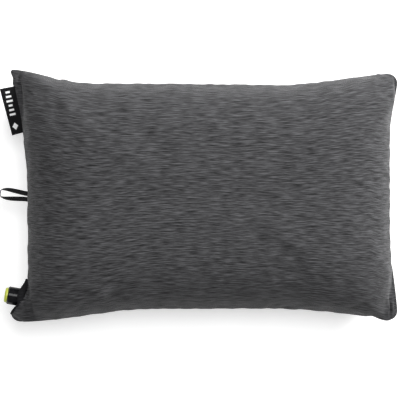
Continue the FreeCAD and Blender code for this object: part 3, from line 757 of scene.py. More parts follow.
@dataclass
class CaseForm:
    """The inflated shape of the case, as two domes on one bowed and puckered seam.

    The corner lists go in the order of CORNER_SIGNS. The body lines, in millimetres as (Y, X), say where the domes of
    the two short ends begin, and corner_pull, in millimetres, how far the corners stand off the panel's own.
    """

    face_rise: float = 53.0 * MM
    back_drop: float = 46.85 * MM
    shoulder: float = 90.0 * MM
    back_shoulder: float = 80.0 * MM
    flap_rise: float = 3.0 * MM
    flap_width: float = 7.0 * MM
    flap_power: float = 0.6
    crown: float = 0.03
    across_cells: int = 108
    along_cells: int = 76
    front: SideBow = SideBow(15.0 * MM, 0.75, 2.4, 0.70, 1.1,
                             ((187 * MM, 4 * MM, 2.0 * MM), (202 * MM, 7 * MM, -1.5 * MM)))
    rear: SideBow = SideBow(15.5 * MM, 0.45, 1.6, 0.65, 1.6,
                            ((-163 * MM, 4 * MM, 1.2 * MM), (-155 * MM, 4 * MM, -0.8 * MM)))
    left: SideBow = SideBow(20.0 * MM, 0.25, 3.0, 1.0, 1.0,
                            ((130 * MM, 3 * MM, 1.2 * MM), (124 * MM, 2 * MM, -0.8 * MM)))
    right: SideBow = SideBow(9.6 * MM, 0.80, 1.6, 0.55, 1.6, ((-74 * MM, 4 * MM, 1.1 * MM),))
    left_body: tuple = ((-140, -190), (-95, -196.5), (17, -196.5), (75, -201.5), (140, -204))
    right_body: tuple = ((-140, 199), (-112, 206), (-60, 212), (60, 216), (140, 210))
    corner_radii: tuple = (12.0 * MM, 13.0 * MM, 5.0 * MM, 14.0 * MM)
    corner_pull: tuple = ((0.5, -1.0), (-0.5, 0.0), (0.0, 0.0), (0.0, -4.5))
    low: Vector = field(default_factory=lambda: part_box("case_face_panel")[0])
    high: Vector = field(default_factory=lambda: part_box("case_face_panel")[1])

    def __post_init__(self) -> None:
        """Takes the seam's plane and corners from the CAD face panel."""
        self.half_length = (self.high.x - self.low.x) / 2
        self.half_width = (self.high.y - self.low.y) / 2
        self.seam_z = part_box("case_back_plain")[1].z
        self.corners = [np.array([sx * self.half_length + dx * MM, sy * self.half_width + dy * MM])
                        for (sx, sy), (dx, dy) in zip(CORNER_SIGNS, self.corner_pull)]

    def stations(self, half: float, cells: int) -> tuple[np.ndarray, np.ndarray]:
        """Spaces grid lines evenly along the fabric, which rises over the shoulder.

        Args:
            half: half of the case's size that way.
            cells: number of grid cells from side to side.

        Returns:
            The lines' places from -1 to 1, and their places along the fabric in metres.
        """
        inset = np.linspace(0.0, half, ARC_STEPS)
        rise = self.face_rise * self.dome(inset, self.shoulder)
        arc = np.concatenate([[0.0], np.cumsum(np.hypot(np.diff(inset), np.diff(rise)))])
        steps = np.linspace(0.0, arc[-1], cells // 2 + 1)
        places = np.interp(steps, arc, inset) / half - 1.0
        cloth = steps - arc[-1]
        return np.concatenate([places, -places[-2::-1]]), np.concatenate([cloth, -cloth[-2::-1]])

    @staticmethod
    def dome(inset: np.ndarray, shoulder: float) -> np.ndarray:
        """Gives the share of the full height at a distance inside the seam."""
        left_over = (1.0 - np.clip(inset / shoulder, 0.0, 1.0)) ** DOME_POWER
        return np.clip(1.0 - left_over, 0.0, 1.0) ** DOME_ROOT

    def side_at(self, side: SideBow, places: np.ndarray, ends: tuple, along: int, sign: float) -> np.ndarray:
        """Gives where a side of the seam lies, on the axis across it.

        Args:
            side: the side's bow.
            places: coordinates along the side.
            ends: the two corners that it runs between.
            along: the axis that it runs along, 0 for X or 1 for Y.
            sign: 1 for the side in the positive direction, -1 for the other.

        Returns:
            The coordinate across the side at each place.
        """
        low, high = ends
        half = (self.half_length, self.half_width)[along]
        share = np.clip((places - low[along]) / (high[along] - low[along]), 0.0, 1.0)
        straight = low[1 - along] + (high[1 - along] - low[1 - along]) * share
        return straight - sign * side.inward(2 * share - 1, half)

    def seam_sides(self, x: np.ndarray, y: np.ndarray) -> tuple:
        """Returns the left and right X at each y, and the front and rear Y at each x."""
        fl, fr, rl, rr = self.corners
        return (self.side_at(self.left, y, (fl, rl), 1, -1.0), self.side_at(self.right, y, (fr, rr), 1, 1.0),
                self.side_at(self.front, x, (fl, fr), 0, -1.0), self.side_at(self.rear, x, (rl, rr), 0, 1.0))

    def edge_gap(self, u: np.ndarray, v: np.ndarray) -> np.ndarray:
        """Returns how far inside the seam the grid places are."""
        return np.minimum((1 - np.abs(u)) * self.half_length, (1 - np.abs(v)) * self.half_width)

    def plan(self, u: np.ndarray, v: np.ndarray) -> tuple[np.ndarray, np.ndarray]:
        """Places grid points inside the seam, seen from above.

        Args:
            u: place across, -1 to 1.
            v: place along, -1 to 1.

        Returns:
            X and Y of each point.
        """
        fl, fr, rl, rr = self.corners
        s, r = (u + 1) / 2, (v + 1) / 2
        straight_x = (1 - r) * (fl[0] + (fr[0] - fl[0]) * s) + r * (rl[0] + (rr[0] - rl[0]) * s)
        straight_y = (1 - s) * (fl[1] + (rl[1] - fl[1]) * r) + s * (fr[1] + (rr[1] - fr[1]) * r)
        x = straight_x + ((1 - s) * self.left.inward(v, self.half_width)
                          - s * self.right.inward(v, self.half_width))
        y = straight_y + ((1 - r) * self.front.inward(u, self.half_length)
                          - r * self.rear.inward(u, self.half_length))
        for (sx, sy), radius in zip(CORNER_SIGNS, self.corner_radii):
            a = np.clip(1 - (1 - sx * u) * self.half_length / radius, 0.0, 1.0)
            b = np.clip(1 - (1 - sy * v) * self.half_width / radius, 0.0, 1.0)
            x = x + sx * radius * (a * np.sqrt(1 - b * b / 2) - a)
            y = y + sy * radius * (b * np.sqrt(1 - a * a / 2) - b)
        return x, y

    def height(self, x: np.ndarray, y: np.ndarray, edge: np.ndarray, half: Half) -> np.ndarray:
        """Gives the height of the case's outer face.

        Args:
            x: X of each point.
            y: Y of each point.
            edge: distance of each point from the seam, seen from above.
            half: face or back.

        Returns:
            Z of each point.
        """
        left, right, front, rear = self.seam_sides(x, y)
        left = np.maximum(left, np.interp(y, *np.array(self.left_body).T * MM))
        right = np.minimum(right, np.interp(y, *np.array(self.right_body).T * MM))
        on_face = half is Half.FACE
        shoulder = self.shoulder if on_face else self.back_shoulder
        full = self.face_rise if on_face else self.back_drop
        across = self.dome(np.minimum(x - left, right - x), shoulder)
        along = self.dome(np.minimum(y - front, rear - y), shoulder)
        flap = self.flap_rise * smoothstep(edge / self.flap_width) ** self.flap_power
        rise = np.sqrt((full * across * along) ** 2 + (flap * (1 - across * along)) ** 2)
        if on_face:
            rise *= 1 - self.crown * ((x / self.half_length) ** 2 + (y / self.half_width) ** 2)
        return self.seam_z + half.value * np.minimum(rise, full)


@dataclass(frozen=True)
class Pressure:
    """How the case is blown up: the cloth's settings and the number of frames."""

    quality: int = 4
    mass: float = 0.2
    force: float = 4.0
    shrink: float = -0.035
    stretch: float = 12.0
    shear: float = 4.0
    bend: float = 0.4
    frames: int = 20

    def blow(self, shell: bpy.types.Object, pinned: str) -> None:
        """Runs the simulation and applies it.

        Args:
            shell: the closed shell.
            pinned: the vertex group that stays where it is.
        """
        cloth = shell.modifiers.new("Cloth", "CLOTH")
        settings = cloth.settings
        settings.quality = self.quality
        settings.mass = self.mass
        settings.use_pressure = True
        settings.uniform_pressure_force = self.force
        settings.vertex_group_mass = pinned
        settings.shrink_min = self.shrink
        settings.tension_stiffness = settings.compression_stiffness = self.stretch
        settings.shear_stiffness = self.shear
        settings.bending_stiffness = self.bend
        settings.effector_weights.gravity = 0.0
        cloth.collision_settings.use_collision = False
        scene = bpy.context.scene
        for step in range(1, self.frames + 1):
            scene.frame_set(step)
        pick(shell)
        bpy.ops.object.modifier_apply(modifier=cloth.name)
        scene.frame_set(1)


@dataclass
class PillowCase:
    """The knit case: a face panel and two back panels that overlap, sewn in one seam with a valve port."""

    form: CaseForm
    pressure: Pressure = Pressure()
    knit: float = 0.9 * MM
    tuck_edge: float = 18.0 * MM
    tuck_overlap: float = 42.0 * MM
    tuck_step: float = 1.5 * MM
    tuck_run: float = 12.0 * MM
    port_half: float = 19.0 * MM
    port_tall: float = 12.5 * MM
    port_blend: float = 44.0 * MM
    port_spread: float = 0.6
    puff_cap: float = 2.2 * MM
    dip_cap: float = 1.4 * MM
    flat_rim: float = 8.0 * MM
    film_gap: float = 2.4 * MM
    bulge_gain: float = 1.5
    relax_steps: int = 60
    crease_rim: float = 2.0 * MM
    creases: tuple = (
        Crease((205.0, -117), (204.5, -135), 1.8, 1.6), Crease((209.5, -117), (208.5, -134), 1.8, 1.6),
        Crease((207.2, -116), (206.5, -136), 1.8, -1.4),
        Crease((-199, -100), (-193, -134), 2.6, 1.6), Crease((-204, -112), (-199, -137), 2.2, 1.3),
        Crease((-208, -120), (-204, -139), 2.0, 1.1), Crease((-201, -104), (-196, -136), 1.8, -1.2),
        Crease((-212, 134), (-204, 131), 2.0, -1.2), Crease((-212, 128), (-203, 126), 2.0, 1.1),
        Crease((-211, 122), (-203, 120), 2.2, -1.0), Crease((-208, 132), (-206, 100), 2.5, 1.2),
        Crease((-202, 130), (-150, 108), 5.0, 0.8), Crease((-190, 134), (-163, 126), 4.0, -0.8),
        Crease((-190, -128), (-140, -112), 5.0, 0.7), Crease((198, -130), (180, -124), 3.5, 1.0),
        Crease((188, -133), (176, -122), 3.0, -1.1), Crease((196, 126), (160, 112), 5.0, 0.7),
        Crease((-206, 134), (-200, 88), 2.4, -2.0), Crease((-201, 132), (-196, 84), 2.6, 1.0),
        Crease((204, -110), (204, -132), 1.8, 1.3), Crease((208, -112), (209, -130), 1.6, 1.1),
        Crease((206, -108), (206.5, -134), 1.6, -1.4),
        Crease((-196, -100), (-191, -131), 2.4, -2.6), Crease((-190, -98), (-186, -128), 3.2, 1.8),
    )

    def build(self) -> dict[str, bpy.types.Object]:
        """Makes the case's three panels.

        Returns:
            Piece name to object.
        """
        shell = self.closed_shell()
        self.inflate(shell)
        apply_modifier(shell, "SUBSURF", levels=1, render_levels=1)
        return self.panels(shell)

    def half_shell(self, half: Half) -> bpy.types.Object:
        """Shapes one half of the case from a flat grid whose UV is the flat fabric."""
        form = self.form
        made = sheet_grid(f"half_{half.name.lower()}", form.across_cells, form.along_cells)
        points = points_of(made)
        places_x, cloth_x = form.stations(form.half_length, form.across_cells)
        places_y, cloth_y = form.stations(form.half_width, form.along_cells)
        column = np.rint((points[:, 0] + 1) / 2 * form.across_cells).astype(int)
        row = np.rint((points[:, 1] + 1) / 2 * form.along_cells).astype(int)
        u, v = places_x[column], places_y[row]
        x, y = form.plan(u, v)
        z = form.height(x, y, form.edge_gap(u, v), half)
        on_seam = (np.abs(u) == 1.0) | (np.abs(v) == 1.0)
        z[on_seam] = form.seam_z
        put_points(made, np.column_stack([x, y, z]))
        cloth_map(made, np.column_stack([cloth_x[column], cloth_y[row]]))
        if half is Half.BACK:
            edit(made, bpy.ops.mesh.flip_normals)
        made.data.materials.append(bpy.data.materials.new(f"mark_{half.name.lower()}"))
        return made

    def closed_shell(self) -> bpy.types.Object:
        """Joins the two halves at the seam into one closed shell."""
        shell = joined([self.half_shell(half) for half in Half], "case_shell")
        edit(shell, lambda: bpy.ops.mesh.remove_doubles(threshold=2 * MERGE_GAP))
        return shell

    def inflate(self, shell: bpy.types.Object) -> None:
        """Blows the shell up as cloth so that its slack gathers along the seam.

        Only the gathers are kept, since the broad swelling would pull the shoulders in, and they are capped.

        Args:
            shell: the closed shell.
        """
        rest = points_of(shell)
        off_seam = np.abs(rest[:, 2] - self.form.seam_z)
        seam = off_seam < MERGE_GAP
        group = shell.vertex_groups.new(name="seam")
        group.add([int(i) for i in np.flatnonzero(seam)], 1.0, "REPLACE")
        self.pressure.blow(shell, group.name)
        moved = points_of(shell) - rest
        moved -= relaxed(shell, moved, self.relax_steps)
        moved[seam] = 0.0
        put_points(shell, rest)
        outward = normals_of(shell)
        lift = (moved * outward).sum(axis=1) * smoothstep(off_seam / self.flat_rim)
        cap = np.where(lift > 0, self.puff_cap, self.dip_cap)
        LOG.info("gathers up to %.1f mm high, capped at %.1f", lift.max() / MM, self.puff_cap / MM)
        points = rest + outward * (cap * np.tanh(lift / cap))[:, None]
        points[:, 2] = np.maximum(points[:, 2], self.form.seam_z - self.form.back_drop)
        put_points(shell, points)
        shell.vertex_groups.clear()

    def fold(self, shell: bpy.types.Object) -> None:
        """Adds the creases that the fabric keeps near its corners, on both halves."""
        points, normals = points_of(shell), normals_of(shell)
        lift = sum(crease.lift(points) for crease in self.creases)
        near = smoothstep(np.abs(points[:, 2] - self.form.seam_z) / self.crease_rim)
        put_points(shell, points + normals * (lift * near)[:, None])

    def __post_init__(self) -> None:
        """Takes the middle of the valve's port from its binding in the CAD."""
        low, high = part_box("valve_port_binding")
        self.port_y = (low.y + high.y) / 2
        self.port_z = (low.z + high.z) / 2

    def spread_port(self, panel: bpy.types.Object, half: Half) -> None:
        """Lifts or lowers the panel's edge round the port.

        Args:
            panel: a panel that ends at the seam.
            half: the half it belongs to.
        """
        points = points_of(panel)
        left = self.form.seam_sides(points[:, 0], points[:, 1])[0]
        inset = np.maximum(points[:, 0] - left, 0.0)
        half_length = self.port_half + self.port_spread * inset
        across = np.clip(1 - ((points[:, 1] - self.port_y) / half_length) ** 2, 0.0, 1.0)
        away = smoothstep(1 - inset / self.port_blend)
        reach = self.port_tall * np.sqrt(across) * away * (points[:, 0] < 0)
        wanted = self.port_z + half.value * reach
        inside = across > 0
        farther = np.maximum if half is Half.FACE else np.minimum
        points[inside, 2] = farther(points[inside, 2], wanted[inside])
        put_points(panel, points)

    def clear_film(self, panel: bpy.types.Object, half: Half) -> None:
        """Bulges the panel over the air cell wherever the cell's film would come through it.

        Args:
            panel: a panel that ends at the seam.
            half: the half it belongs to.
        """
        form = self.form
        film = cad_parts["air_cell_top_film" if half is Half.FACE else "air_cell_bottom_film"]
        tree = BVHTree.FromPolygons(points_of(film).tolist(), [tuple(f.vertices) for f in film.data.polygons])
        points = points_of(panel)
        short = np.zeros(len(points))
        for index, (x, y, z) in enumerate(points):
            hit = tree.ray_cast(Vector((x, y, half.value)), Vector((0.0, 0.0, -half.value)))[0]
            if hit is not None:
                short[index] = max(0.0, (hit.z - z) * half.value + self.film_gap)
        x, y = points[:, 0], points[:, 1]
        left, right, front, rear = form.seam_sides(x, y)
        inset = np.minimum(np.minimum(x - left, right - x), np.minimum(y - front, rear - y))
        bulge = relaxed(panel, short[:, None], self.relax_steps)[:, 0] * self.bulge_gain
        points[:, 2] += half.value * np.maximum(short, bulge) * smoothstep(inset / self.film_gap)
        points[:, 2] = np.maximum(points[:, 2], form.seam_z - form.back_drop)
        put_points(panel, points)

    def panels(self, shell: bpy.types.Object) -> dict[str, bpy.types.Object]:
        """Cuts the shell into its panels, overlaps the back and gives each its thickness."""
        edit(shell, lambda: bpy.ops.mesh.separate(type="MATERIAL"))
        face, back = sorted(bpy.context.selected_objects, key=lambda half: -points_of(half)[:, 2].max())
        for panel, half in ((face, Half.FACE), (back, Half.BACK)):
            self.spread_port(panel, half)
            self.fold(panel)
            self.clear_film(panel, half)
        face.name = "case_face"
        tucked = back.copy()
        tucked.data = back.data.copy()
        bpy.context.scene.collection.objects.link(tucked)
        back.name, tucked.name = "case_back_outer", "case_back_tuck"
        self.trim(back, self.tuck_edge, keep_above=True)
        self.trim(tucked, self.tuck_edge + self.tuck_overlap, keep_above=False)
        points, normals = points_of(tucked), normals_of(tucked)
        step = smoothstep((points[:, 0] - self.tuck_edge + self.tuck_run) / self.tuck_run) * self.tuck_step
        put_points(tucked, points - normals * step[:, None])
        made = {"face": face, "back": back, "tuck": tucked}
        for panel in made.values():
            thicken(panel, self.knit, offset=-1.0)
            panel.data.name = panel.name
            shade(panel, 60.0)
        return made

    def trim(self, panel: bpy.types.Object, at: float, keep_above: bool) -> None:
        """Cuts the panel straight across at an X and drops one side.

        Args:
            panel: the panel.
            at: X of the cut.
            keep_above: True to keep what lies beyond it in +X.
        """
        edit(panel, lambda: bpy.ops.mesh.bisect(plane_co=(at, 0, 0), plane_no=(1, 0, 0), clear_inner=keep_above,
                                                clear_outer=not keep_above))


@dataclass
class Filling:
    """What shows of the filling's soft parts: the foam topper and the turned-in edges of the panels."""

    form: CaseForm
    foam_inset: float = 15.0 * MM
    foam_gap: float = 5.5 * MM
    foam_thick: float = 9.0 * MM
    foam_cells: tuple = (72, 48)
    allowance_start: float = 1.6 * MM
    allowance_end: float = 9.6 * MM
    allowance_thick: float = 1.4 * MM
    ripple: float = 0.5 * MM
    ripple_step: float = 0.9
    edge_points: int = 320

    def foam(self) -> bpy.types.Object:
        """Makes the foam topper, a slab that follows the face from inside."""
        form = self.form
        made = sheet_grid("foam_topper_pad", *self.foam_cells)
        points = points_of(made)
        u = points[:, 0] * (1 - self.foam_inset / form.half_length)
        v = points[:, 1] * (1 - self.foam_inset / form.half_width)
        x, y = form.plan(u, v)
        z = form.height(x, y, form.edge_gap(u, v), Half.FACE) - self.foam_gap
        put_points(made, np.column_stack([x, y, np.maximum(z, form.seam_z + self.allowance_thick)]))
        thicken(made, self.foam_thick, offset=-1.0)
        points = points_of(made)
        points[:, 2] = np.maximum(points[:, 2], form.seam_z + self.allowance_thick / 2)
        put_points(made, points)
        recalculate(made)
        shade(made, 50.0)
        return made

    def allowance(self, port_y: float, port_half: float) -> bpy.types.Object:
        """Makes the turned-in fabric inside the seam, which stops at the port.

        Args:
            port_y: middle of the port.
            port_half: half of the port's length.

        Returns:
            The strip.
        """
        form = self.form
        deselect()
        bpy.ops.mesh.primitive_circle_add(vertices=self.edge_points, radius=1.0)
        made = bpy.context.object
        made.name = made.data.name = "seam_allowance_strip"
        outer = self.on_edge(self.allowance_start)
        inner = self.on_edge(self.allowance_end)
        put_points(made, outer)
        edit(made, bpy.ops.mesh.extrude_edges_move)
        points = points_of(made)
        points[self.edge_points:] = inner
        points[self.edge_points:, 2] += np.sin(np.arange(self.edge_points) * self.ripple_step) * self.ripple
        put_points(made, points)
        faces = made.data.polygons
        for item in (made.data.vertices, made.data.edges, faces):
            item.foreach_set("select", [False] * len(item))
        for face in faces:
            centre = face.center
            face.select = centre.x < form.low.x / 2 and abs(centre.y - port_y) < port_half + self.allowance_end
        edit(made, lambda: bpy.ops.mesh.delete(type="FACE"), everything=False)
        edit(made, face_outwards)
        thicken(made, self.allowance_thick)
        cloth_map(made, points_of(made)[:, :2])
        recalculate(made)
        shade(made, 50.0)
        return made

    def on_edge(self, inset: float) -> np.ndarray:
        """Returns points round the seam, this far inside it."""
        form = self.form
        turn = np.linspace(0.0, 2 * np.pi, self.edge_points, endpoint=False)
        u, v = np.cos(turn), np.sin(turn)
        widest = np.maximum(np.abs(u), np.abs(v))
        u, v = u / widest, v / widest
        x, y = form.plan(u * (1 - inset / form.half_length), v * (1 - inset / form.half_width))
        return np.column_stack([x, y, np.full_like(x, form.seam_z)])


@dataclass
class ValvePort:
    """Edge of the hole that the valve comes out of: a black binding and the sleeve behind it."""

    case: PillowCase
    recess: float = 2.2 * MM
    fold_x: float = -197.5 * MM
    fold_out: float = 5.5 * MM
    roll_depth: float = 3.0 * MM
    tuck_depth: float = 5.2 * MM
    tuck_drop: float = 1.5 * MM
    top_taper: float = 10.0 * MM
    top_share: float = 0.25
    roll_half: float = 1.0 * MM
    gather: float = 0.25 * MM
    gathers: int = 34
    squareness: float = 0.7
    loop_cells: int = 160
    section_cells: int = 12
    sleeve_cells: int = 10
    sleeve_inner: float = 9.4 * MM
    sleeve_ease: float = 1.3
    sleeve_folds: int = 9
    sleeve_twist: float = 2.0
    sleeve_thick: float = 0.5 * MM

    def loop(self, angle: np.ndarray) -> np.ndarray:
        """Returns points on the opening's edge at these angles."""
        case = self.case
        y = case.port_y + case.port_half * np.cos(angle)
        z = case.port_z + case.port_tall * np.sin(angle)
        seam = case.form.seam_sides(np.full_like(y, case.form.low.x), y)[0]
        top = case.port_y + case.port_half
        fold = self.fold_x - self.fold_out * smoothstep((top - y) / case.port_half)
        return np.column_stack([np.minimum(seam + self.recess, fold), y, z])

    def outwards(self, angle: np.ndarray) -> np.ndarray:
        """Returns the unit direction away from the opening's middle at these angles."""
        case = self.case
        across = np.column_stack([np.zeros_like(angle), np.cos(angle) / case.port_half,
                                  np.sin(angle) / case.port_tall])
        return across / np.linalg.norm(across, axis=1, keepdims=True)

    def binding(self) -> bpy.types.Object:
        """Makes the binding, a folded tape that wraps the edge and gathers a little."""
        made = sheet_grid("port_binding", self.loop_cells, self.section_cells)
        points = points_of(made)
        angle, round_it = (points[:, 0] + 1) * np.pi, (points[:, 1] + 1) * np.pi
        gather = self.gather * np.sin(self.gathers * angle)
        half = self.roll_half + gather
        bow = flattened(np.cos(round_it), self.squareness)
        swell = flattened(np.sin(round_it), self.squareness)
        inner = np.maximum(bow, 0.0)
        edge = self.loop(angle)
        below_top = self.case.port_y + self.case.port_half - edge[:, 1]
        roll = self.roll_depth * (self.top_share + (1 - self.top_share) * smoothstep(below_top / self.top_taper))
        edge += self.outwards(angle) * (half * swell - self.tuck_drop * inner)[:, None]
        edge[:, 0] += roll * np.minimum(bow, 0.0) + self.tuck_depth * inner + gather
        lay(made, edge, np.column_stack([angle * self.case.port_half, round_it * self.roll_depth / 2]))
        shade(made, 60.0)
        return made

    def sleeve(self) -> bpy.types.Object:
        """Makes the sleeve, a black funnel from the binding in to the valve's shoulder."""
        made = sheet_grid("port_sleeve", self.loop_cells, self.sleeve_cells)
        points = points_of(made)
        angle, share = (points[:, 0] + 1) * np.pi, (points[:, 1] + 1) / 2
        start = self.loop(angle) - self.outwards(angle) * self.roll_half
        start[:, 0] += self.roll_depth / 2
        stem_low, stem_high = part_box("valve_stem")
        middle = (stem_low + stem_high) / 2
        ring = np.column_stack([np.full_like(angle, stem_high.x - self.roll_half * 2),
                                middle.y + self.sleeve_inner * np.cos(angle),
                                middle.z + self.sleeve_inner * np.sin(angle)])
        ease = share[:, None] ** self.sleeve_ease
        inside = start * (1 - ease) + ring * ease
        folds = np.sin(self.sleeve_folds * angle + self.sleeve_twist * share) * np.sin(np.pi * share)
        inside[:, 0] += folds * self.roll_half
        lay(made, inside, np.column_stack([angle * self.case.port_half, share * self.sleeve_inner]))
        thicken(made, self.sleeve_thick)
        shade(made, 60.0)
        return made


@dataclass
class HemStitching:
    """Row of stitches along the free edge of the outer back panel."""

    edge_x: float
    from_edge: float = 8.0 * MM
    pitch: float = 3.4 * MM
    length: float = 2.6 * MM
    radius: float = 0.32 * MM
    end_gap: float = 7.0 * MM
    proud: float = 0.3
    facets: tuple = (8, 6)

    def build(self, panel: bpy.types.Object) -> bpy.types.Object:
        """Lays stitches on the panel's outside.

        Args:
            panel: the panel to sew on.

        Returns:
            The stitches, one piece.
        """
        surface = BVHTree.FromObject(panel, bpy.context.evaluated_depsgraph_get())
        points = points_of(panel)
        row_x = self.edge_x + self.from_edge
        near = np.abs(points[:, 0] - row_x) < self.pitch
        low, high = points[near, 1].min() + self.end_gap, points[near, 1].max() - self.end_gap
        deselect()
        segments, rings = self.facets
        bpy.ops.mesh.primitive_uv_sphere_add(segments=segments, ring_count=rings, radius=self.radius)
        first = bpy.context.object
        first.name = first.data.name = "hem_stitching"
        shape = points_of(first)
        shape[:, 1] *= self.length / 2 / self.radius
        copies = []
        below = Vector((0.0, 0.0, -1.0))
        for y in np.arange(low, high, self.pitch):
            hit, normal, _, _ = surface.ray_cast(Vector((row_x, y, 0.0)) + below * 0.05, -below)
            if hit is None or normal.z > 0:
                continue
            tilt = np.array(below.rotation_difference(normal).to_matrix())
            points = shape @ tilt.T + np.array(hit + normal * self.radius * self.proud)
            points[:, 2] = np.maximum(points[:, 2], 0.0)
            copies.append(points)
        return self.copy_all(first, copies)

    @staticmethod
    def copy_all(first: bpy.types.Object, copies: list[np.ndarray]) -> bpy.types.Object:
        """Repeats the first stitch at each set of points, in one mesh."""
        made = bmesh.new()
        faces = [tuple(face.vertices) for face in first.data.polygons]
        for points in copies:
            verts = [made.verts.new(point) for point in points]
            for face in faces:
                made.faces.new([verts[index] for index in face])
        made.to_mesh(first.data)
        made.free()
        cloth_map(first, points_of(first)[:, :2])
        shade(first, 60.0)
        return first


@dataclass
class SewnLabel:
    """Folded woven label that stands out of the seam, with a plain white pattern on its upper side."""

    layer: float = 0.40 * MM
    fold_radius: float = 0.36 * MM
    tail: float = 3.0 * MM
    droop: float = 0.9 * MM
    wave: float = 0.35 * MM
    cells: tuple = (36, 48)
    wave_turns: float = 5.0
    mark_lift: float = 0.12 * MM
    mark_depth: float = 0.18 * MM
    mark_cells: int = 6
    bar_count: int = 6
    bar_start: float = 0.10
    bar_step: float = 0.095
    bar_widths: tuple = (0.160, 0.205, 0.250)
    bar_height: float = 0.022
    diamond: tuple = (0.83, 0.27, 0.078)

    def __post_init__(self) -> None:
        """Finds the label's four corners on its CAD solid."""
        points = points_of(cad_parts["side_label"])
        self.middle_z = points[:, 2].mean()
        flat = points[:, :2]
        self.root = flat[flat[:, 1].argmax()]
        self.fold = flat[flat[:, 0].argmin()]
        self.heel = flat[flat[:, 1].argmin()]
        self.toe = flat[flat[:, 0].argmax()]
        self.width = float(np.linalg.norm(self.fold - self.root))
        self.length = float(np.linalg.norm(self.heel - self.fold))

    def place(self, out: np.ndarray, down: np.ndarray, lift: np.ndarray) -> np.ndarray:
        """Turns label coordinates into points.

        Args:
            out: distance from the seam edge, in metres.
            down: share of the label's length, from its corner end.
            lift: height above the label's middle plane.

        Returns:
            The points.
        """
        start = self.root + (self.toe - self.root) * down[:, None]
        end = self.fold + (self.heel - self.fold) * down[:, None]
        share = (out / self.width)[:, None]
        flat = start + (end - start) * share
        free = np.clip(share[:, 0], 0, 1)
        sag = self.wave * np.sin(self.wave_turns * down + 1) * free - self.droop * free ** 2
        return np.column_stack([flat, self.middle_z + lift + sag])

    def ribbon(self) -> bpy.types.Object:
        """Makes the ribbon, folded round its outer edge, its two ends in the seam."""
        made = sheet_grid("woven_label", *self.cells)
        points = points_of(made)
        radius = self.fold_radius
        run = self.width - radius + self.tail
        bend = np.pi * radius
        travel = (points[:, 0] + 1) / 2 * (2 * run + bend)
        out = np.minimum(travel, 2 * run + bend - travel) - self.tail
        turn = np.clip((travel - run) / radius, 0.0, np.pi)
        in_bend = (travel > run) & (travel < run + bend)
        out = np.where(in_bend, self.width - radius + radius * np.sin(turn), out)
        lift = radius * np.cos(turn)
        down = (points[:, 1] + 1) / 2
        lay(made, self.place(out, down, lift), np.column_stack([travel, down * self.length]))
        thicken(made, self.layer)
        shade(made, 50.0)
        return made

    def marks(self) -> bpy.types.Object:
        """Makes the raised white pattern: a row of bars and a diamond."""
        shapes = [(self.bar_start + self.bar_step * index, self.bar_widths[index % len(self.bar_widths)],
                   self.bar_height, False) for index in range(self.bar_count)]
        shapes.append((*self.diamond, True))
        pieces = []
        for down, half_out, half_down, turned in shapes:
            mark = sheet_grid("label_marks", self.mark_cells, self.mark_cells)
            points = points_of(mark)
            a, b = points[:, 0], points[:, 1]
            if turned:
                a, b = (a + b) / 2, (a - b) / 2
            lift = np.full_like(a, self.fold_radius + self.layer / 2 + self.mark_lift / 2)
            cloth_map(mark, np.column_stack([a * half_out * self.width, b * half_down * self.length]))
            put_points(mark, self.place((0.5 + a * half_out) * self.width, down + b * half_down, lift))
            pieces.append(mark)
        made = joined(pieces, "label_marks")
        recalculate(made)
        thicken(made, self.mark_depth)
        return made


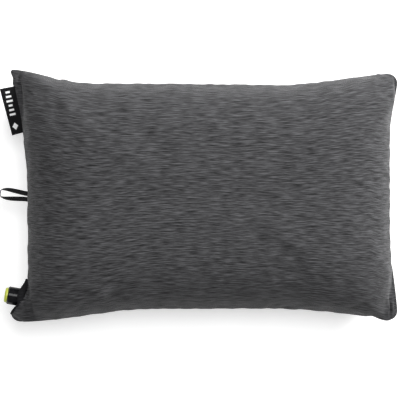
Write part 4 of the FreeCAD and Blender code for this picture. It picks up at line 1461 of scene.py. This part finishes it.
@dataclass
class HangLoop:
    """Sewn ribbon loop: flat at the seam, on edge round its tip."""

    root: tuple = (-0.1970, -0.0016)
    lean: float = math.radians(-7.5)
    reach: float = 30.0 * MM
    base_gap: float = 3.0 * MM
    belly: float = 4.0 * MM
    ribbon: float = 5.2 * MM
    thick: float = 0.9 * MM
    tail: float = 4.0 * MM
    tail_share: float = 0.03
    corner: float = 0.35
    gap_power: float = 0.5
    reach_power: float = 0.8
    turn_power: float = 1.6
    turn_ends: tuple = (0.004, 0.996)
    look_ahead: float = 0.01
    cells: tuple = (120, 12)

    def centre(self, turn: np.ndarray) -> np.ndarray:
        """Returns the ribbon's middle line, 0 at its upper end to pi at its lower one."""
        spread = (self.base_gap + self.belly * np.sin(turn)) * flattened(np.cos(turn), self.gap_power)
        return np.column_stack([-self.reach * np.sin(turn) ** self.reach_power, spread, np.zeros_like(turn)])

    def build(self) -> bpy.types.Object:
        """Sweeps a flat rounded section along the middle line."""
        made = sheet_grid("ribbon_loop", *self.cells)
        points = points_of(made)
        turn = np.clip((points[:, 0] + 1) / 2, *self.turn_ends) * np.pi
        after, before = (np.clip(turn + step, 0, np.pi) for step in (self.look_ahead, -self.look_ahead))
        ahead = self.centre(after) - self.centre(before)
        ahead /= np.linalg.norm(ahead, axis=1, keepdims=True)
        flat = np.column_stack([-ahead[:, 1], ahead[:, 0], np.zeros_like(turn)])
        on_edge = (np.pi / 2 * np.sin(turn) ** self.turn_power)[:, None]
        across = flat * np.cos(on_edge) + np.array([0.0, 0.0, 1.0]) * np.sin(on_edge)
        through = np.cross(ahead, across)
        section = (points[:, 1] + 1) * np.pi
        wide = flattened(np.cos(section), self.corner) * self.ribbon / 2
        deep = flattened(np.sin(section), self.corner) * self.thick / 2
        swept = self.centre(turn) + across * wide[:, None] + through * deep[:, None]
        inward = np.clip(1 - np.minimum(points[:, 0] + 1, 1 - points[:, 0]) / self.tail_share, 0, 1)
        swept[:, 0] += inward * self.tail
        cosine, sine = math.cos(self.lean), math.sin(self.lean)
        x = swept[:, 0] * cosine - swept[:, 1] * sine + self.root[0]
        y = swept[:, 0] * sine + swept[:, 1] * cosine + self.root[1]
        low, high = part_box("hang_loop")
        z = swept[:, 2] + (low.z + high.z) / 2
        lay(made, np.column_stack([x, y, z]), np.column_stack([wide, turn * self.reach]))
        edit(made, lambda: bpy.ops.mesh.select_all(action="DESELECT"),
             lambda: bpy.ops.mesh.select_mode(type="EDGE"), bpy.ops.mesh.select_non_manifold,
             bpy.ops.mesh.edge_face_add)
        shade(made, 50.0)
        return made


# Studio ------------------------------------------------------------------

@dataclass
class Studio:
    """White floor, soft light from the far right, and a camera straight above."""

    lens: float = 150.0
    view_width: float = 0.445
    view_centre: tuple = (-0.00445, -0.00556)
    floor_half: float = 4.0
    floor_glow: float = 0.51
    world_light: float = 0.28
    backdrop: float = 0.95
    lights: tuple = (("key", (1.02, 1.02, 0.88), 0.7, 41.0), ("overhead", (0.1, 0.5, 2.0), 0.9, 20.0),
                     ("fill", (-1.1, -0.7, 1.2), 1.4, 2.5))

    def build(self) -> None:
        """Sets the floor, the lights, the world and the camera."""
        self.floor()
        for lamp in self.lights:
            self.light(*lamp)
        self.surroundings()
        bpy.context.scene.view_settings.view_transform = "Standard"
        self.camera()

    def surroundings(self) -> None:
        """Makes the world a dim white that looks bright where the camera sees it."""
        world = bpy.context.scene.world or bpy.data.worlds.new("world")
        bpy.context.scene.world = world
        world.use_nodes = True
        world.node_tree.nodes.clear()
        board = Board(world.node_tree)
        seen = board.add("ShaderNodeLightPath").outputs["Is Camera Ray"]
        white = (1.0, 1.0, 1.0, 1.0)
        dim = board.add("ShaderNodeBackground", {"Color": white, "Strength": self.world_light})
        bright = board.add("ShaderNodeBackground", {"Color": white, "Strength": self.backdrop})
        mixed = board.add("ShaderNodeMixShader", {0: seen, 1: dim.outputs[0], 2: bright.outputs[0]})
        board.add("ShaderNodeOutputWorld", {0: mixed.outputs[0]})

    def floor(self) -> None:
        """Lays a pale floor with a soft mottle and a faint glow, as on a light table."""
        floor = sheet_grid("floor", 4, 4)
        put_points(floor, points_of(floor) * [self.floor_half, self.floor_half, 1.0])
        pale = Moulded("pale_floor", colour=(0.93, 0.93, 0.93), worn=(0.9, 0.9, 0.9), roughness=0.8, grain=60.0)
        floor.data.materials.append(pale.material())
        surface = floor.data.materials[0].node_tree.nodes["Principled BSDF"]
        surface.inputs["Emission Color"].default_value = (1.0, 1.0, 1.0, 1.0)
        surface.inputs["Emission Strength"].default_value = self.floor_glow

    def light(self, name: str, place: tuple, size: float, power: float) -> None:
        """Hangs a square soft light that looks at the pillow."""
        data = bpy.data.lights.new(name, "AREA")
        data.size, data.energy = size, power
        lamp = bpy.data.objects.new(name, data)
        lamp.location = place
        lamp.rotation_euler = (-Vector(place)).to_track_quat("-Z", "Y").to_euler()
        bpy.context.scene.collection.objects.link(lamp)

    def camera(self) -> None:
        """Puts a long lens straight above the pillow."""
        data = bpy.data.cameras.new("camera")
        data.lens = self.lens
        camera = bpy.data.objects.new("camera", data)
        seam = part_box("case_back_plain")[1].z
        camera.location = (*self.view_centre, seam + self.view_width * self.lens / data.sensor_width)
        bpy.context.scene.collection.objects.link(camera)
        bpy.context.scene.camera = camera


def settle(piece: bpy.types.Object, finish: Finish, slot: Slot, body: Body, *nodes: str) -> None:
    """Dresses a piece, lets it ride on its body and stand for its CAD nodes.

    Args:
        piece: the piece.
        finish: its finish.
        slot: the record's slot; not used.
        body: the body that it rides on.
        nodes: the CAD nodes that it replaces.
    """
    dress(piece, finish.material())
    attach(piece, body.value)
    if nodes:
        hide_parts(*nodes)
    report(piece)


def build_case() -> PillowCase:
    """Builds the case's panels, its hem stitching and its port."""
    case = PillowCase(CaseForm())
    made = case.build()
    settle(made["face"], KNIT_FACE, Slot.KNIT_FACE, Body.PILLOW, "case_face_panel")
    settle(made["back"], KNIT_BACK, Slot.KNIT_BACK, Body.PILLOW, "case_back_plain")
    settle(made["tuck"], KNIT_BACK, Slot.KNIT_BACK, Body.PILLOW, "case_back_tucked")
    stitches = HemStitching(case.tuck_edge).build(made["back"])
    settle(stitches, STITCH, Slot.KNIT_BACK, Body.PILLOW)
    port = ValvePort(case)
    settle(port.binding(), SEAM_TAPE, Slot.BINDING, Body.PILLOW, "valve_port_binding")
    sleeve = port.sleeve()
    settle(sleeve, SEAM_TAPE, Slot.BINDING, Body.PILLOW)
    return case


def build_filling(case: PillowCase) -> None:
    """Builds the foam topper and the seam allowance, and dresses the CAD nodes that are kept."""
    filling = Filling(case.form)
    foam = filling.foam()
    settle(foam, OPEN_FOAM, Slot.FOAM, Body.PILLOW, "foam_topper")
    strip = filling.allowance(case.port_y, case.port_half)
    settle(strip, KNIT_BACK, Slot.KNIT_BACK, Body.PILLOW, "case_seam_allowance")
    for node, finish in CARRIED_NODES.items():
        dress(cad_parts[node], finish.material())


def build_ribbons() -> None:
    """Builds the sewn label with its pattern, and the hang loop."""
    label = SewnLabel()
    ribbon = label.ribbon()
    settle(ribbon, LABEL_WEAVE, Slot.LABEL_RIBBON, Body.LABEL, "side_label")
    settle(label.marks(), WHITE_WEAVE, Slot.LABEL_RIBBON, Body.LABEL)
    loop = HangLoop().build()
    settle(loop, LOOP_RIBBON, Slot.RIBBON, Body.LOOP, "hang_loop")


def main() -> None:
    """Builds every sub-assembly in order."""
    logging.basicConfig(level=logging.INFO, format="%(name)s %(message)s")
    case = build_case()
    build_filling(case)
    build_ribbons()
    Studio().build()


if __name__ == "__main__":
    main()
